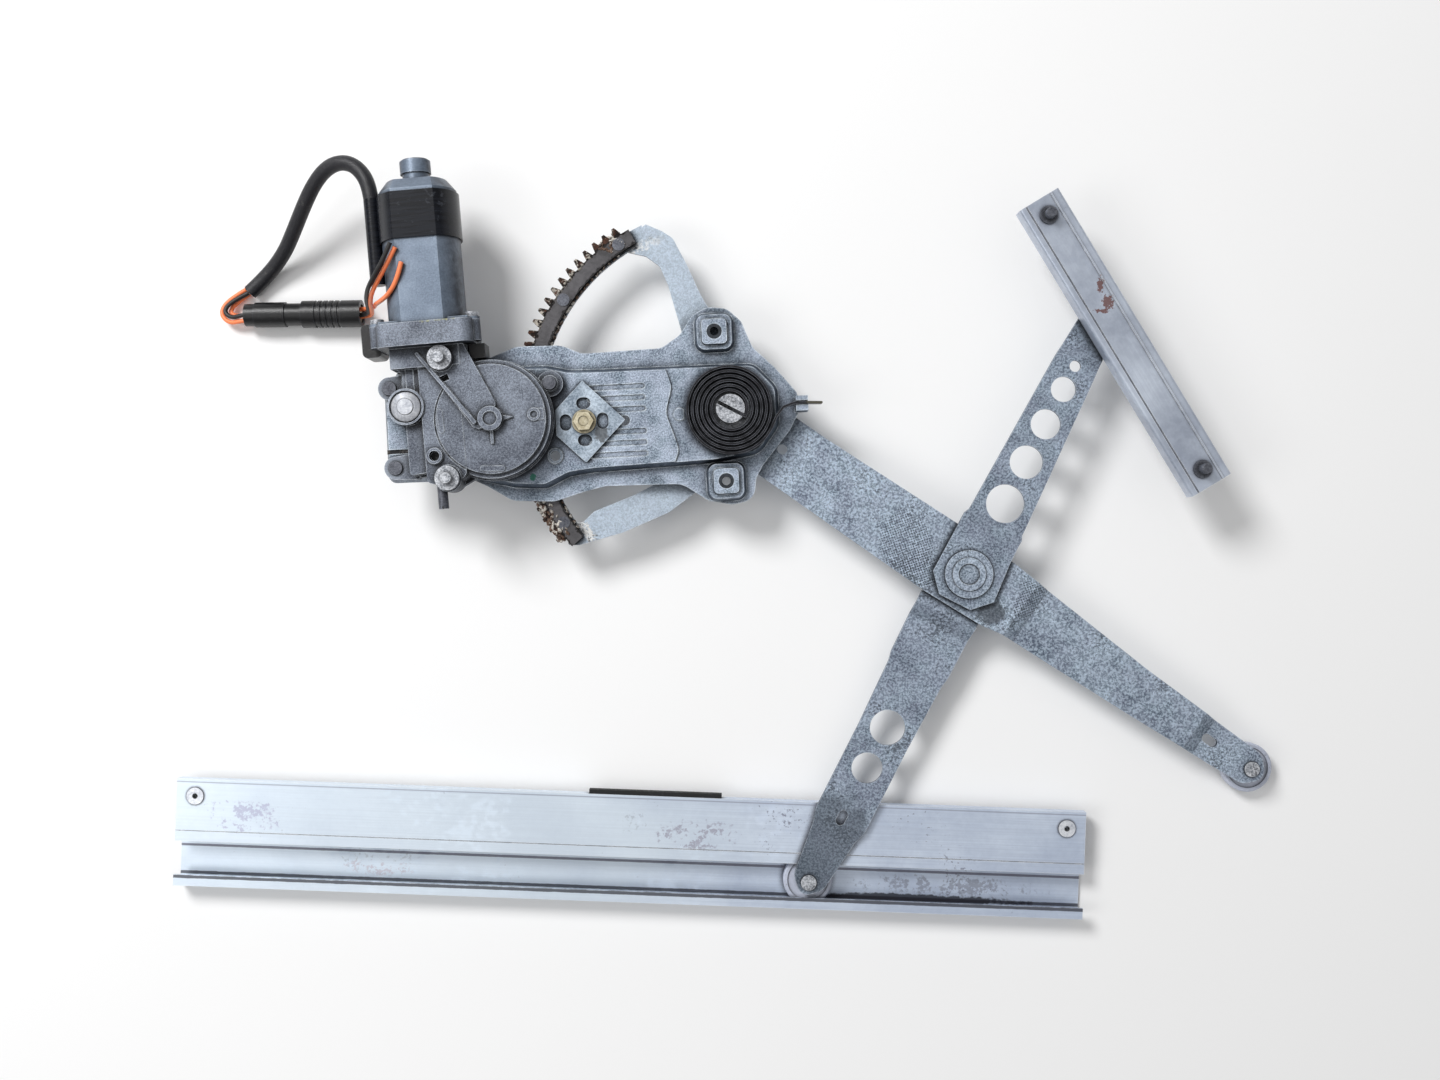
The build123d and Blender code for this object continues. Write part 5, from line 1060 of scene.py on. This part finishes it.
# %% Floor
floor_height = frame_box[0][2]
floor_width = 16.0
floor_gap = 0.0003
bpy.ops.object.select_all(action="DESELECT")
bpy.ops.mesh.primitive_plane_add(size=floor_width, location=(0.0, 0.0, floor_height - floor_gap))
floor = bpy.context.object
floor.name = "floor"
floor_paint = Finish("floor_paint", paint(250, 250, 250), roughness=0.9)
floor.data.materials.append(floor_paint.material)
print("floor at", round(floor_height, 4))

# %% World
world = bpy.data.worlds.new("studio")
bpy.context.scene.world = world
world.use_nodes = True
sky = world.node_tree
background = sky.nodes["Background"]
direction = step(sky, "ShaderNodeTexCoord")
split = step(sky, "ShaderNodeSeparateXYZ")
levels = step(sky, "ShaderNodeValToRGB")
levels.color_ramp.elements[0].position = 0.14
levels.color_ramp.elements[0].color = (1.0, 1.0, 1.0, 1.0)
levels.color_ramp.elements[1].position = 1.0
levels.color_ramp.elements[1].color = (1.0, 1.0, 1.0, 1.0)
dim_band = levels.color_ramp.elements.new(0.30)
dim_band.color = (0.16, 0.16, 0.16, 1.0)
sky.links.new(direction.outputs["Generated"], split.inputs[0])
sky.links.new(split.outputs["Z"], levels.inputs[0])
sky.links.new(levels.outputs[0], background.inputs["Color"])
background.inputs["Strength"].default_value = 0.64
print("world lit")

# %% Lamps
def soft_lamp(name, place, aim, size, power):
    lamp = bpy.data.lights.new(name, "AREA")
    lamp.shape = "DISK"
    lamp.size = size
    lamp.energy = power
    holder = bpy.data.objects.new(name, lamp)
    bpy.context.scene.collection.objects.link(holder)
    holder.location = place
    holder.rotation_euler = (Vector(aim) - Vector(place)).to_track_quat("-Z", "Y").to_euler()
    print(name, "at", place)
    return holder


lamp_aim = (0.0, -0.1, 0.0)
soft_lamp("key_lamp", (-1.1, 1.0, 1.6), lamp_aim, 0.8, 36.0)
soft_lamp("side_lamp", (-1.3, -0.5, 1.5), lamp_aim, 1.0, 6.0)

# %% [markdown]
# The photograph looks straight down from about 0.9 m above the floor, turned by two degrees.

# %% Camera
view_angle = 51.3
sensor = 36.0
camera_data = bpy.data.cameras.new("camera")
camera_data.sensor_width = sensor
camera_data.lens = sensor / 2 / tan(radians(view_angle / 2))
camera = bpy.data.objects.new("camera", camera_data)
bpy.context.scene.collection.objects.link(camera)
camera.location = (0.0079, -0.1196, 0.860)
camera.rotation_euler = (0.0, 0.0, radians(2.15))
bpy.context.scene.camera = camera
print("lens", round(camera_data.lens, 2))

# %% Colour handling
bpy.context.scene.view_settings.view_transform = "Standard"
print("view transform", bpy.context.scene.view_settings.view_transform)
